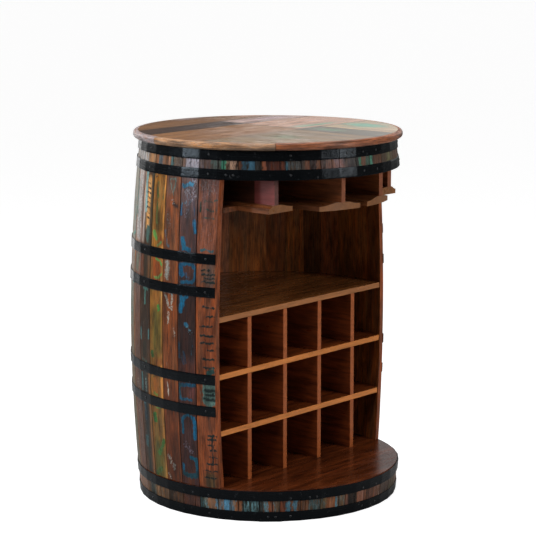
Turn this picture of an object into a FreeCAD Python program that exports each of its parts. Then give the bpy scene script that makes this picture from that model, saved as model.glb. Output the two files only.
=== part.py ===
import FreeCAD, Part
import math
import os
from FreeCAD import Vector

# Bar cabinet built like a wine barrel, from reclaimed boards held by iron hoops. The staves at the
# front are left out. Behind the opening stand fifteen bottle cells, a glass rack hangs under the
# round top, and the base ring carries a round deck that reaches out in front of the cells.
# Millimetres. The origin is on the floor at the barrel's axis, +Z is up and the opening faces -Y.
# Angles round the barrel are in degrees from the middle of the front (-Y), positive towards +X.

# Barrel: its outer face bows on one large arc, widest at the bilge
OVERALL_H = 910.0
BILGE_R = 343.0
BILGE_Z = 420.0
BOW_R = 4167.0
STAVES_ROUND = 41
STAVES_LEFT_OUT = 16
STAVE_T = 14.0
STAVE_EASE = 1.0

# Clearance between a board and the wall that it is fitted into
FIT_GAP = 0.3

# Round top: boards with a rounded edging of bent strips
TOP_T = 18.0
TOP_OVERHANG = 16.7
EDGING_W = 12.0
EDGING_ROUND = 8.0
BOARD_GAP = 0.4

# Rings of short blocks above and below the staves, and the deck on the lower one
RING_T = 11.0
TOP_RING_H = 70.0
BASE_RING_H = 64.0
DECK_T = 14.0

# Iron hoops and their nails
HOOP_W = 24.5
HOOP_T = 2.0
HOOP_GAP = 0.2
DECK_EDGE_SHOWN = 2.0
NAIL_HEAD_R = 3.0
NAIL_HEAD_H = 1.4
NAIL_SHANK_R = 1.2
NAIL_L = 10.0
NAIL_GAP = 0.05

# Bottle cells: the outer ones are narrower, by this share of a middle one's width
SIDE_CELL_SHARE = 0.872
CELL_CLEAR_H = 125.2
DIVIDER_T = 14.0
SHELF_T = 13.5
FRONT_SETBACK = 1.9
FRONT_EASE = 1.0
CELL_ROWS = 3
DIVIDERS_EACH_SIDE = 2

# Glass rack: moulded rails carried by upright webs under the top
RACK_DROP = 149.5
RAIL_SLOT_W = 26.0
SIDE_CHANNEL_W = 52.46
RAIL_EDGE_T = 11.5
RAIL_CROWN_T = 19.0
RAIL_OUTER_HALF_W = 26.0
RAIL_SETBACK = 20.0
RAIL_CORNER_SETBACK = 1.0
WEB_T = 14.0
RAILS_EACH_SIDE = 2

# Heights and the front plane that follow from these sizes
DECK_TOP_Z = BASE_RING_H + DECK_T
TOP_UNDER_Z = OVERALL_H - TOP_T
STAVE_TOP_Z = TOP_UNDER_Z - TOP_RING_H
FACET_DEG = 360.0 / STAVES_ROUND
FRONT_Y = -BILGE_R * math.cos(math.radians(STAVES_LEFT_OUT * FACET_DEG / 2))
TOOL_SPAN = 2 * OVERALL_H


def barrel_r(z, depth=0.0):
    """Radius at height z of the face that lies depth under the barrel's outer face."""
    return math.sqrt((BOW_R - depth) ** 2 - (z - BILGE_Z) ** 2) - (BOW_R - BILGE_R)


def place(angle, r, z):
    """Point at an angle from the front, a radius from the axis and a height."""
    turn = math.radians(angle)
    return Vector(r * math.sin(turn), -r * math.cos(turn), z)


def facet_angle(facet, share=0.5):
    """Angle at a share of a facet's width. Facets count from the front to the left and round."""
    return -(facet + 1 - share) * FACET_DEG


def closed_face(edges):
    return Part.Face(Part.Wire(Part.__sortEdges__(edges)))


def bowed_edge(z_low, z_high, depth):
    """Edge of the bowed face at a depth, drawn in the plane through the axis and +X."""
    heights = (z_low, (z_low + z_high) / 2, z_high)
    return Part.Arc(*[Vector(barrel_r(z, depth), 0, z) for z in heights]).toShape()


def line(start, end):
    return Part.LineSegment(start, end).toShape()


def box_between(low, high):
    """Box from its lowest corner to its highest corner."""
    size = high.sub(low)
    return Part.makeBox(size.x, size.y, size.z, low)


def behind(y):
    """All the room behind a plane that faces the front."""
    return box_between(Vector(-TOOL_SPAN, y, -TOOL_SPAN), Vector(TOOL_SPAN, TOOL_SPAN, TOOL_SPAN))


# The room inside the barrel, which shelves, dividers and rails are fitted into

def room_part(z_low, z_high, wall):
    """The round room inside a wall of one thickness, less the fitting clearance."""
    depth = wall + FIT_GAP
    low, high = Vector(0, 0, z_low), Vector(0, 0, z_high)
    low_rim = Vector(barrel_r(z_low, depth), 0, z_low)
    high_rim = Vector(barrel_r(z_high, depth), 0, z_high)
    face = closed_face([bowed_edge(z_low, z_high, depth), line(high_rim, high), line(high, low),
                        line(low, low_rim)])
    return face.revolve(Vector(0, 0, 0), Vector(0, 0, 1), 360)


def room():
    staves = room_part(DECK_TOP_Z, STAVE_TOP_Z, STAVE_T)
    ring = room_part(STAVE_TOP_Z, TOP_UNDER_Z, RING_T)
    return staves.fuse(ring)


# Nails: each has a domed head on its hoop and a shank in the wood behind

class Nail:
    """Where one nail goes: its facet, the share of its width, its height and the iron's radius there."""

    def __init__(self, facet, share, z, seat_r):
        self.facet = facet
        self.angle = facet_angle(facet, share)
        self.off_middle = seat_r * math.tan(math.radians(self.angle - facet_angle(facet)))
        self.z = z
        self.seat_r = seat_r

    def set_in(self, shape):
        """Turn a shape drawn along +X from the origin so that it stands square on the iron here."""
        tilt = math.degrees(math.asin((self.z - BILGE_Z) / BOW_R))
        shape.rotate(Vector(0, 0, 0), Vector(0, 1, 0), -tilt)
        shape.translate(Vector(self.seat_r, self.off_middle, self.z))
        shape.rotate(Vector(0, 0, 0), Vector(0, 0, 1), facet_angle(self.facet) - 90)
        return shape

    def solid(self):
        crown = Vector(NAIL_GAP + NAIL_HEAD_H, 0, 0)
        half_turn = math.radians(45)
        shoulder = Vector(NAIL_GAP + NAIL_HEAD_H * math.sin(half_turn), 0,
                          NAIL_HEAD_R * math.cos(half_turn))
        rim = Vector(NAIL_GAP, 0, NAIL_HEAD_R)
        neck = Vector(NAIL_GAP, 0, NAIL_SHANK_R)
        foot = Vector(-NAIL_L, 0, NAIL_SHANK_R)
        tip = Vector(-NAIL_L, 0, 0)
        dome = Part.Arc(crown, shoulder, rim).toShape()
        face = closed_face([dome, line(rim, neck), line(neck, foot), line(foot, tip), line(tip, crown)])
        return self.set_in(face.revolve(Vector(0, 0, 0), Vector(1, 0, 0), 360))

    def pilot_hole(self):
        radius = NAIL_SHANK_R + NAIL_GAP
        length = NAIL_L + 2 * NAIL_HEAD_H
        start = Vector(-NAIL_L - NAIL_GAP, 0, 0)
        return self.set_in(Part.makeCylinder(radius, length, start, Vector(1, 0, 0)))


# Hoops: heights of their middles, whether they go all round, and the facet where a round one laps

class Hoop:
    """One iron hoop, from its middle height and the facet of its lap, if it is a closed one."""

    def __init__(self, number, z, lap_facet=None, nail_share=0.5):
        self.number = number
        self.z_low = z - HOOP_W / 2
        self.z_high = z + HOOP_W / 2
        self.lap_facet = lap_facet
        self.nail_z = self.z_low + HOOP_W * nail_share

    def closed(self):
        return self.lap_facet is not None

    def seat_r(self, layers):
        """Radius of the outer face at the nails, under one or two layers of strap."""
        share = (self.nail_z - self.z_low) / HOOP_W
        depth = -(HOOP_GAP + layers * HOOP_T)
        return (1 - share) * barrel_r(self.z_low, depth) + share * barrel_r(self.z_high, depth)


STAVE_LENGTH = STAVE_TOP_Z - DECK_TOP_Z
STAVE_HOOP_SHARES = (0.748, 0.6415, 0.3587, 0.2547)
LAP_FACETS = {1: 1, 2: 7, 7: 3, 8: 5}
LOW_NAIL_SHARE = 0.25


def make_hoops():
    """The eight hoops, numbered from the top."""
    under_top = Hoop(1, TOP_UNDER_Z - HOOP_GAP - HOOP_W / 2, LAP_FACETS[1])
    ring_foot = Hoop(2, STAVE_TOP_Z + HOOP_W / 2, LAP_FACETS[2])
    on_staves = [Hoop(3 + i, DECK_TOP_Z + STAVE_LENGTH * share)
                 for i, share in enumerate(STAVE_HOOP_SHARES)]
    deck_rim = Hoop(7, DECK_TOP_Z - DECK_EDGE_SHOWN - HOOP_W / 2, LAP_FACETS[7], LOW_NAIL_SHARE)
    foot = Hoop(8, HOOP_GAP + HOOP_W / 2, LAP_FACETS[8])
    return [under_top, ring_foot] + on_staves + [deck_rim, foot]


HOOPS = make_hoops()
NAIL_EVERY = 4
LAP_NAIL_SHARES = (0.42, 0.78)
FIRST_STAVE_FACET = STAVES_LEFT_OUT // 2
LAST_STAVE_FACET = STAVES_ROUND - FIRST_STAVE_FACET - 1


def nails_of(hoop):
    """Every few facets a nail, and two through the lap of a closed hoop."""
    facets = range(STAVES_ROUND) if hoop.closed() else range(FIRST_STAVE_FACET, LAST_STAVE_FACET + 1)
    nails = [Nail(facet, 0.5, hoop.nail_z, hoop.seat_r(1))
             for facet in facets if facet % NAIL_EVERY == 0]
    if hoop.closed():
        nails += [Nail(hoop.lap_facet, share, hoop.nail_z, hoop.seat_r(2)) for share in LAP_NAIL_SHARES]
    return nails


ALL_NAILS = [nail for hoop in HOOPS for nail in nails_of(hoop)]


def drilled(solid, angle_low, angle_high, z_low, z_high):
    """A piece of wood with pilot holes for the nails within its angles and heights."""
    holes = [nail.pilot_hole() for nail in ALL_NAILS
             if angle_low < nail.angle < angle_high and z_low < nail.z < z_high]
    return solid.cut(Part.makeCompound(holes)) if holes else solid


def facet_ring(z, depth):
    """Closed outline with one straight side on each facet, at a height and a depth."""
    corner_r = barrel_r(z, depth) / math.cos(math.radians(FACET_DEG / 2))
    corners = [place(-i * FACET_DEG, corner_r, z) for i in range(STAVES_ROUND)]
    return Part.makePolygon(corners + corners[:1])


def strap(hoop, facet, layers):
    """A piece of strap as wide as one facet, on top of the given number of layers."""
    low, high = [barrel_r(z, -(HOOP_GAP + layers * HOOP_T)) for z in (hoop.z_low, hoop.z_high)]
    return wedge_block(hoop.z_low, hoop.z_high, (low, high), (low + HOOP_T, high + HOOP_T), facet, 0, 1)


def wedge_block(z_low, z_high, inner, outer, facet, share_low, share_high):
    """Flat-faced block on a facet, between two shares of its width, with radial sides."""
    def corner(r, share, z):
        off_middle = math.radians((share - 0.5) * FACET_DEG)
        return place(facet_angle(facet, share), r / math.cos(off_middle), z)

    wires = []
    for z, inner_r, outer_r in ((z_low, inner[0], outer[0]), (z_high, inner[1], outer[1])):
        corners = [corner(inner_r, share_low, z), corner(outer_r, share_low, z),
                   corner(outer_r, share_high, z), corner(inner_r, share_high, z)]
        wires.append(Part.makePolygon(corners + corners[:1]))
    return Part.makeLoft(wires, True, True)


def make_hoop(hoop):
    """Strap that follows the facets. A closed hoop laps over one facet, an open one ends in front."""
    inner = [facet_ring(z, -HOOP_GAP) for z in (hoop.z_low, hoop.z_high)]
    outer = [facet_ring(z, -HOOP_GAP - HOOP_T) for z in (hoop.z_low, hoop.z_high)]
    ring = Part.makeLoft(outer, True, True).cut(Part.makeLoft(inner, True, True))
    if hoop.closed():
        ring = ring.fuse(strap(hoop, hoop.lap_facet, 1)).removeSplitter()
    else:
        ring = ring.common(behind(FRONT_Y))
    return ring.cut(Part.makeCompound([nail.pilot_hole() for nail in nails_of(hoop)]))


# Staves: flat-faced, bowed along their length, mitred to each other and eased on the outer edges

def stave_slab():
    """Bowed board on +X, wide enough for the widest stave."""
    low_in = Vector(barrel_r(DECK_TOP_Z, STAVE_T), 0, DECK_TOP_Z)
    low_out = Vector(barrel_r(DECK_TOP_Z), 0, DECK_TOP_Z)
    high_in = Vector(barrel_r(STAVE_TOP_Z, STAVE_T), 0, STAVE_TOP_Z)
    high_out = Vector(barrel_r(STAVE_TOP_Z), 0, STAVE_TOP_Z)
    outer = bowed_edge(DECK_TOP_Z, STAVE_TOP_Z, 0)
    inner = bowed_edge(DECK_TOP_Z, STAVE_TOP_Z, STAVE_T)
    face = closed_face([outer, inner, line(low_in, low_out), line(high_in, high_out)])
    width = 2 * BILGE_R * math.tan(math.radians(FACET_DEG))
    face.translate(Vector(0, -width / 2, 0))
    return face.extrude(Vector(0, width, 0))


def sector(left_deg, right_deg):
    """Wedge of room about +X between two angles from it."""
    reach = 2 * BILGE_R
    corners = [Vector(0, 0, 0)]
    for angle in (left_deg, right_deg):
        turn = math.radians(angle)
        corners.append(Vector(reach * math.cos(turn), reach * math.sin(turn), 0))
    return Part.Face(Part.makePolygon(corners + corners[:1])).extrude(Vector(0, 0, OVERALL_H))


def make_stave(facet):
    """Stave on a facet. The first and last ones are sawn off along the front plane."""
    half = FACET_DEG / 2
    first = facet == FIRST_STAVE_FACET
    last = facet == LAST_STAVE_FACET
    left = -half - (half if last else 0)
    right = half + (half if first else 0)
    solid = stave_slab().common(sector(left, right))
    solid.rotate(Vector(0, 0, 0), Vector(0, 0, 1), facet_angle(facet) - 90)
    if first or last:
        solid = solid.common(behind(FRONT_Y))
    solid = eased(solid)
    return drilled(solid, facet_angle(facet, 0), facet_angle(facet, 1), DECK_TOP_Z, STAVE_TOP_Z)


def axis_distance(edge):
    return math.hypot(edge.CenterOfMass.x, edge.CenterOfMass.y)


def eased(stave):
    """Take the sharpness off the two long outer edges."""
    long_edges = [edge for edge in stave.Edges if edge.Length > STAVE_LENGTH / 2]
    middle_r = max(axis_distance(edge) for edge in long_edges) - STAVE_T / 2
    return stave.makeChamfer(STAVE_EASE, [edge for edge in long_edges if axis_distance(edge) > middle_r])


# Rings of short blocks: a facet holds one block, or two that meet at a share of its width
TOP_SPLIT_SHARES = {0: 0.3, 2: 0.6, 4: 0.27, 7: 0.28, 10: 0.35, 11: 0.42, 13: 0.65, 15: 0.3, 18: 0.7,
                    20: 0.38, 21: 0.6, 24: 0.33, 26: 0.68, 29: 0.4, 31: 0.25, 34: 0.64, 37: 0.36,
                    39: 0.7}
BASE_SPLIT_SHARES = {0: 0.66, 1: 0.4, 3: 0.24, 5: 0.62, 6: 0.35, 9: 0.7, 11: 0.3, 12: 0.62, 14: 0.4,
                     17: 0.33, 19: 0.66, 22: 0.28, 25: 0.6, 27: 0.36, 30: 0.7, 33: 0.3, 36: 0.63,
                     38: 0.35}


def make_blocks(z_low, z_high, split_shares):
    """A ring of short flat-faced blocks between two heights."""
    inner = [barrel_r(z, RING_T) for z in (z_low, z_high)]
    outer = [barrel_r(z) for z in (z_low, z_high)]
    blocks = []
    for facet in range(STAVES_ROUND):
        joints = [0, 1]
        if facet in split_shares:
            joints.insert(1, split_shares[facet])
        for low, high in zip(joints, joints[1:]):
            block = wedge_block(z_low, z_high, inner, outer, facet, low, high)
            angles = (facet_angle(facet, low), facet_angle(facet, high))
            blocks.append(drilled(block, *angles, z_low, z_high))
    return Part.makeCompound(blocks)


# Round top and deck, cut from boards

def round_board(radius, z_low, z_high, x_low, x_high, y_low, y_high):
    """Board of a round top between two X and two Y lines, with half a joint's gap at each line."""
    gap = BOARD_GAP / 2
    disc = Part.makeCylinder(radius, z_high - z_low, Vector(0, 0, z_low))
    low = Vector(x_low + gap, y_low + gap, z_low)
    high = Vector(x_high - gap, y_high - gap, z_high)
    return disc.common(box_between(low, high))


TOP_R = barrel_r(TOP_UNDER_Z) + TOP_OVERHANG
TOP_BOARD_SHARES = {
    "top_board_rear": (-1, 1, 0.6, 1),
    "top_board_rear_left": (-1, 0.15, 0.35, 0.6),
    "top_board_rear_right": (0.15, 1, 0.35, 0.6),
    "top_board_mid_left": (-1, 0.15, -0.2, 0.35),
    "top_board_mid_right": (0.15, 1, -0.2, 0.35),
    "top_board_front_left": (-1, 0.09, -1, -0.2),
    "top_board_front_middle": (0.09, 0.36, -1, -0.2),
    "top_board_front_right": (0.36, 1, -1, -0.2),
}
EDGING_JOINT_SHARES = (-0.288, -0.1275, 0.128, 0.43)


def make_top_board(shares):
    lines = [share * TOP_R for share in shares]
    return round_board(TOP_R - EDGING_W - FIT_GAP, TOP_UNDER_Z, OVERALL_H, *lines)


def make_edging():
    """Four bent strips round the top, rounded above and below."""
    inner_r = TOP_R - EDGING_W
    flat_r = TOP_R - EDGING_ROUND
    slant = EDGING_ROUND * (1 - math.cos(math.radians(45)))
    low_in, high_in = Vector(inner_r, 0, TOP_UNDER_Z), Vector(inner_r, 0, OVERALL_H)
    low_flat, high_flat = Vector(flat_r, 0, TOP_UNDER_Z), Vector(flat_r, 0, OVERALL_H)
    low_side = Vector(TOP_R, 0, TOP_UNDER_Z + EDGING_ROUND)
    high_side = Vector(TOP_R, 0, OVERALL_H - EDGING_ROUND)
    low_round = Part.Arc(low_flat, Vector(TOP_R - slant, 0, TOP_UNDER_Z + slant), low_side).toShape()
    high_round = Part.Arc(high_side, Vector(TOP_R - slant, 0, OVERALL_H - slant), high_flat).toShape()
    face = closed_face([line(low_in, low_flat), low_round, line(low_side, high_side), high_round,
                        line(high_flat, high_in), line(high_in, low_in)])
    strips = []
    joints = [share * 360 for share in EDGING_JOINT_SHARES]
    gap_deg = math.degrees(BOARD_GAP / TOP_R)
    for start, end in zip(joints, joints[1:] + [joints[0] + 360]):
        strip = face.copy()
        strip.rotate(Vector(0, 0, 0), Vector(0, 0, 1), start - 90)
        strips.append(strip.revolve(Vector(0, 0, 0), Vector(0, 0, 1), end - start - gap_deg))
    return Part.makeCompound(strips)


DECK_R = barrel_r(BASE_RING_H)
DECK_REAR_JOINT_SHARE = 0.32


def make_deck():
    """Three boards on the base ring. The front joint lies under the cells' front edges."""
    joints = [-DECK_R, FRONT_Y, DECK_REAR_JOINT_SHARE * DECK_R, DECK_R]
    boards = [round_board(DECK_R, BASE_RING_H, DECK_TOP_Z, -DECK_R, DECK_R, low, high)
              for low, high in zip(joints, joints[1:])]
    return Part.makeCompound(boards)


def clear_w(z):
    """Width between the side walls at the front plane, at a height."""
    return 2 * math.sqrt(barrel_r(z, STAVE_T) ** 2 - FRONT_Y ** 2)


# Bottle cells: three shelves across the barrel, and dividers between them and on the deck
CELL_FRONT_Y = FRONT_Y + FRONT_SETBACK
SHELF_PITCH = CELL_CLEAR_H + SHELF_T
DIVIDERS = 2 * DIVIDERS_EACH_SIDE
CELL_CLEAR_W = (clear_w(BILGE_Z) - DIVIDERS * DIVIDER_T) / (DIVIDERS - 1 + 2 * SIDE_CELL_SHARE)
DIVIDER_PITCH = CELL_CLEAR_W + DIVIDER_T


def eased_front(board):
    """Take the sharpness off the long edges of a board's front."""
    box = board.BoundBox
    least = max(box.XLength, box.ZLength) / 2
    edges = [edge for edge in board.Edges if edge.Length > least
             and abs(edge.CenterOfMass.y - CELL_FRONT_Y) < FIT_GAP]
    return board.makeChamfer(FRONT_EASE, edges)


def make_shelf(row):
    """Shelf over the given row of cells, counted from the deck."""
    z_high = DECK_TOP_Z + row * SHELF_PITCH
    low = Vector(-BILGE_R, CELL_FRONT_Y, z_high - SHELF_T)
    return eased_front(ROOM.common(box_between(low, Vector(BILGE_R, BILGE_R, z_high))))


def make_dividers(row):
    """The upright boards of one row of cells."""
    z_low = DECK_TOP_Z + (row - 1) * SHELF_PITCH
    dividers = []
    for i in range(DIVIDERS):
        x = (i + 0.5 - DIVIDERS_EACH_SIDE) * DIVIDER_PITCH
        low = Vector(x - DIVIDER_T / 2, CELL_FRONT_Y, z_low)
        high = Vector(x + DIVIDER_T / 2, BILGE_R, z_low + CELL_CLEAR_H)
        dividers.append(eased_front(ROOM.common(box_between(low, high))))
    return Part.makeCompound(dividers)


# Glass rack: rails with a coved top face, each hanging from a web that reaches the top
RAIL_Z = TOP_UNDER_Z - RACK_DROP
OUTER_WEB_X = clear_w(RAIL_Z) / 2 - SIDE_CHANNEL_W - RAIL_OUTER_HALF_W
RAIL_PITCH = OUTER_WEB_X / (RAILS_EACH_SIDE - 0.5)
RAIL_W = RAIL_PITCH - RAIL_SLOT_W
RAIL_END_R = barrel_r(STAVE_TOP_Z) - RAIL_SETBACK
RAIL_CORNER_R = barrel_r(STAVE_TOP_Z) - RAIL_CORNER_SETBACK
OUTER_RAIL_END_Y = -math.sqrt(RAIL_CORNER_R ** 2 - (OUTER_WEB_X + RAIL_OUTER_HALF_W) ** 2)
WEB_FOOT_R = barrel_r(STAVE_TOP_Z, STAVE_T) - 2 * FIT_GAP
WEB_END_R = barrel_r(TOP_UNDER_Z, RING_T) - 2 * FIT_GAP


def rack_room(nose):
    """Where rails may lie: inside the staves, and in front of them within the given nose."""
    return ROOM.common(behind(FRONT_Y)).fuse(nose.cut(behind(FRONT_Y)))


def cove(edge_x):
    """Two tangent arcs that rise from the rail's edge, at edge_x, to the flat under its web."""
    crown_x = math.copysign(WEB_T / 2, edge_x)
    low, high = RAIL_Z + RAIL_EDGE_T, RAIL_Z + RAIL_CROWN_T
    middle = Vector((edge_x + crown_x) / 2, 0, (low + high) / 2)
    run, rise = abs(edge_x - crown_x) / 2, (high - low) / 2
    radius = (run ** 2 + rise ** 2) / (2 * rise)
    turn = math.asin(run / radius) / 2
    across = math.copysign(radius * math.sin(turn), edge_x)
    up = radius * (1 - math.cos(turn))
    foot = Part.Arc(Vector(edge_x, 0, low), Vector(edge_x - across, 0, low + up), middle)
    head = Part.Arc(middle, Vector(crown_x + across, 0, high - up), Vector(crown_x, 0, high))
    return [foot.toShape(), head.toShape()]


def rail_moulding(left_w, right_w):
    """Rail about X = 0, from front to back, with its edges at the given distances."""
    left, right = -left_w, right_w
    edge_z, crown_z = RAIL_Z + RAIL_EDGE_T, RAIL_Z + RAIL_CROWN_T
    edges = cove(left) + cove(right)
    edges += [line(Vector(-WEB_T / 2, 0, crown_z), Vector(WEB_T / 2, 0, crown_z)),
              line(Vector(left, 0, edge_z), Vector(left, 0, RAIL_Z)),
              line(Vector(left, 0, RAIL_Z), Vector(right, 0, RAIL_Z)),
              line(Vector(right, 0, RAIL_Z), Vector(right, 0, edge_z))]
    face = closed_face(edges)
    face.translate(Vector(0, -BILGE_R, 0))
    return face.extrude(Vector(0, 2 * BILGE_R, 0))


def make_rail(index):
    """Rail by its place from the left. The two in the middle follow the curve of the top ring at
    their front. The outer ones are sawn off square, and wider behind, up to the side wall."""
    x = (index + 0.5 - RAILS_EACH_SIDE) * RAIL_PITCH
    half = RAIL_W / 2
    space = OUTER_RACK_ROOM
    if index == 0:
        rail = rail_moulding(RAIL_OUTER_HALF_W, half)
        rail = rail.fuse(side_wing(-BILGE_R - x, WEB_T / 2 - RAIL_OUTER_HALF_W))
    elif index == 2 * RAILS_EACH_SIDE - 1:
        rail = rail_moulding(half, RAIL_OUTER_HALF_W)
        rail = rail.fuse(side_wing(RAIL_OUTER_HALF_W - WEB_T / 2, BILGE_R - x))
    else:
        rail = rail_moulding(half, half)
        space = RACK_ROOM
    rail.translate(Vector(x, 0, 0))
    return rail.common(space).removeSplitter()


def side_wing(x_low, x_high):
    """The flat part of an outer rail that reaches the side wall behind the front plane."""
    low = Vector(x_low, FRONT_Y, RAIL_Z)
    return box_between(low, Vector(x_high, BILGE_R, RAIL_Z + RAIL_EDGE_T))


def make_web(index):
    """Upright board between a rail and the top. It is sawn off square, upright as far as the top
    ring's lower edge and from there at a slant that clears the ring's inside."""
    x = (index + 0.5 - RAILS_EACH_SIDE) * RAIL_PITCH
    left, reach = x - WEB_T / 2, abs(x) + WEB_T / 2
    foot_y, end_y = (-math.sqrt(r ** 2 - reach ** 2) for r in (WEB_FOOT_R, WEB_END_R))
    foot_z = RAIL_Z + RAIL_CROWN_T
    corners = [Vector(left, BILGE_R, foot_z), Vector(left, foot_y, foot_z), Vector(left, foot_y, STAVE_TOP_Z),
               Vector(left, end_y, TOP_UNDER_Z), Vector(left, BILGE_R, TOP_UNDER_Z)]
    side = closed_face([line(a, b) for a, b in zip(corners, corners[1:] + corners[:1])])
    return ROOM.common(side.extrude(Vector(WEB_T, 0, 0)))


ROOM = room()
RACK_ROOM = rack_room(Part.makeCylinder(RAIL_END_R, OVERALL_H))
OUTER_RACK_ROOM = rack_room(box_between(Vector(-BILGE_R, OUTER_RAIL_END_Y, 0), Vector(BILGE_R, 0, OVERALL_H)))


def save(node, shape):
    """Write one sub-part, as a plain solid where it is one piece."""
    if len(shape.Solids) == 1:
        shape = shape.Solids[0]
    shape.exportStep("parts/" + node + ".step")
    print(node, len(shape.Solids), "solids, valid:", shape.isValid(), "volume:", round(shape.Volume))


def main():
    os.makedirs("parts", exist_ok=True)
    for name, shares in TOP_BOARD_SHARES.items():
        save(name, make_top_board(shares))
    save("top_edging", make_edging())
    save("top_ring_blocks", make_blocks(STAVE_TOP_Z, TOP_UNDER_Z, TOP_SPLIT_SHARES))
    save("base_ring_blocks", make_blocks(0, BASE_RING_H, BASE_SPLIT_SHARES))
    save("deck_boards", make_deck())
    for number, facet in enumerate(range(FIRST_STAVE_FACET, LAST_STAVE_FACET + 1), 1):
        save("stave_%02d" % number, make_stave(facet))
    for hoop in HOOPS:
        save("hoop_%d" % hoop.number, make_hoop(hoop))
    save("hoop_nails", Part.makeCompound([nail.solid() for nail in ALL_NAILS]))
    for row in range(1, CELL_ROWS + 1):
        save("shelf_%d" % row, make_shelf(row))
        save("dividers_row_%d" % row, make_dividers(row))
    for index in range(2 * RAILS_EACH_SIDE):
        save("glass_rail_%d" % (index + 1), make_rail(index))
        save("rail_web_%d" % (index + 1), make_web(index))


main()
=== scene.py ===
import math

import bpy
import numpy as np
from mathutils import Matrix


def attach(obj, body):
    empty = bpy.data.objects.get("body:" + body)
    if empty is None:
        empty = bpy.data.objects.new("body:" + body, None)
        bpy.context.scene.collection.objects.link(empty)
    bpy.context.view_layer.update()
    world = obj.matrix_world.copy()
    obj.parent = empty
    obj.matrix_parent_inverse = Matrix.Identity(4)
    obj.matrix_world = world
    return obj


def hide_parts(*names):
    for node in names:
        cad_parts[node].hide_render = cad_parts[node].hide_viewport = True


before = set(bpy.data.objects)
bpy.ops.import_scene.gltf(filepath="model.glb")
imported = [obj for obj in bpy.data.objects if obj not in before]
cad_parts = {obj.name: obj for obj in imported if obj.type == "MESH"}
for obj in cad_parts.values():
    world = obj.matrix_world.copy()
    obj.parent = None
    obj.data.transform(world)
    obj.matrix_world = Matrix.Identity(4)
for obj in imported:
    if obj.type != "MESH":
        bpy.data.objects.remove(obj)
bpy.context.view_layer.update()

# Base ring: short upright teak offcuts, flat-faced and glued edge to edge on the barrel's curve.
# They come from old painted joinery, so each one has its own worn paint, under one clear satin
# lacquer. Lengths are in metres, and in millimetres where a name ends in MM.

MM = 0.001
# The barrel has 41 flat facets. It is widest, with BILGE_R, at BILGE_Z, and from there its outer
# face curves in upwards and downwards with BOW_R
BILGE_R = 343 * MM
BILGE_Z = 420 * MM
BOW_R = 4167 * MM
FACETS = 41
FACET_TURN = 2 * math.pi / FACETS
RING_T = 11 * MM
BASE_RING_H = 64 * MM
BLOCK_EASE = 0.9 * MM
BLOCK_GAP = 0.25 * MM
BLOCK_SET_BACK = 0.5 * MM
BLOCK_ROWS = 15
BLOCK_COLUMNS = 18


def barrel_r(z, depth=0.0):
    """Radius of the face that lies depth under the barrel's outer one. Seen from the side the face
    is an arc of a circle, so the radius is the circle's half chord there less the shift of its
    centre."""
    return np.sqrt((BOW_R - depth) ** 2 - (z - BILGE_Z) ** 2) - (BOW_R - BILGE_R)


def facet_axes(facet):
    """The level directions straight out of a facet and to the right along it. Facets count from the
    middle of the front to the left and round."""
    angle = -(facet + 0.5) * FACET_TURN
    out = np.array([math.sin(angle), -math.cos(angle), 0.0])
    right = np.array([math.cos(angle), math.sin(angle), 0.0])
    return out, right


def ripple(x, seed, wavelengths):
    """Uneven line from -1 to 1: sines of the given lengths added up, each with its own phase."""
    phases = np.random.default_rng(seed).uniform(0, 2 * math.pi, len(wavelengths))
    return sum(np.sin(2 * math.pi * x / size + phase)
               for size, phase in zip(wavelengths, phases)) / len(wavelengths)


def linear(colour):
    """Linear RGB of an sRGB hex colour, by the standard's curve."""
    shares = np.array([int(colour[i:i + 2], 16) for i in (0, 2, 4)]) / 255
    return np.where(shares <= 0.04045, shares / 12.92, ((shares + 0.055) / 1.055) ** 2.4)


def in_scene(name, data):
    """New object in the scene that shows a mesh, a lamp or a camera."""
    made = bpy.data.objects.new(name, data)
    bpy.context.scene.collection.objects.link(made)
    return made


def tube_mesh(name, points, paths, looks, smooth_deg=32):
    """Piece made of closed tubes. points[tube, row, column] go round each tube by column and along
    it by row, and both ends get a face. paths[tube, row, column, 2] is each point's place on the
    board's surface, and looks give values for the start and the end of every strip between two
    columns, as looks[word][tube, row, column, end], so that colours may break at an arris."""
    tubes, rows, columns = points.shape[:3]
    index = np.arange(tubes * rows * columns).reshape(tubes, rows, columns)
    along = np.roll(index, -1, axis=2)
    quads = np.stack([index[:, :-1], along[:, :-1], along[:, 1:], index[:, 1:]], axis=-1)
    faces = quads.reshape(-1, 4).tolist() + index[:, 0, ::-1].tolist() + index[:, -1].tolist()
    mesh = bpy.data.meshes.new(name)
    mesh.from_pydata(points.reshape(-1, 3).tolist(), [], faces)

    def corners(values):
        """Values at the corners of the faces, in the order of the faces."""
        start, end = values[:, :, :, 0], values[:, :, :, 1]
        sides = np.stack([start[:, :-1], end[:, :-1], end[:, 1:], start[:, 1:]], axis=3)
        width = values.shape[-1]
        return np.concatenate([sides.reshape(-1, width), start[:, 0, ::-1].reshape(-1, width),
                               start[:, -1].reshape(-1, width)])

    ends = np.stack([paths, np.roll(paths, -1, axis=2)], axis=3)
    mesh.uv_layers.new(name="board").data.foreach_set("uv", corners(ends).ravel())
    for word, values in looks.items():
        layer = mesh.attributes.new(word, "FLOAT_COLOR", "CORNER")
        layer.data.foreach_set("color", corners(values).ravel())
    mesh.polygons.foreach_set("use_smooth", np.ones(len(faces), bool))
    mesh.set_sharp_from_angle(angle=math.radians(smooth_deg))
    mesh.update()
    return in_scene(name, mesh)


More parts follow.
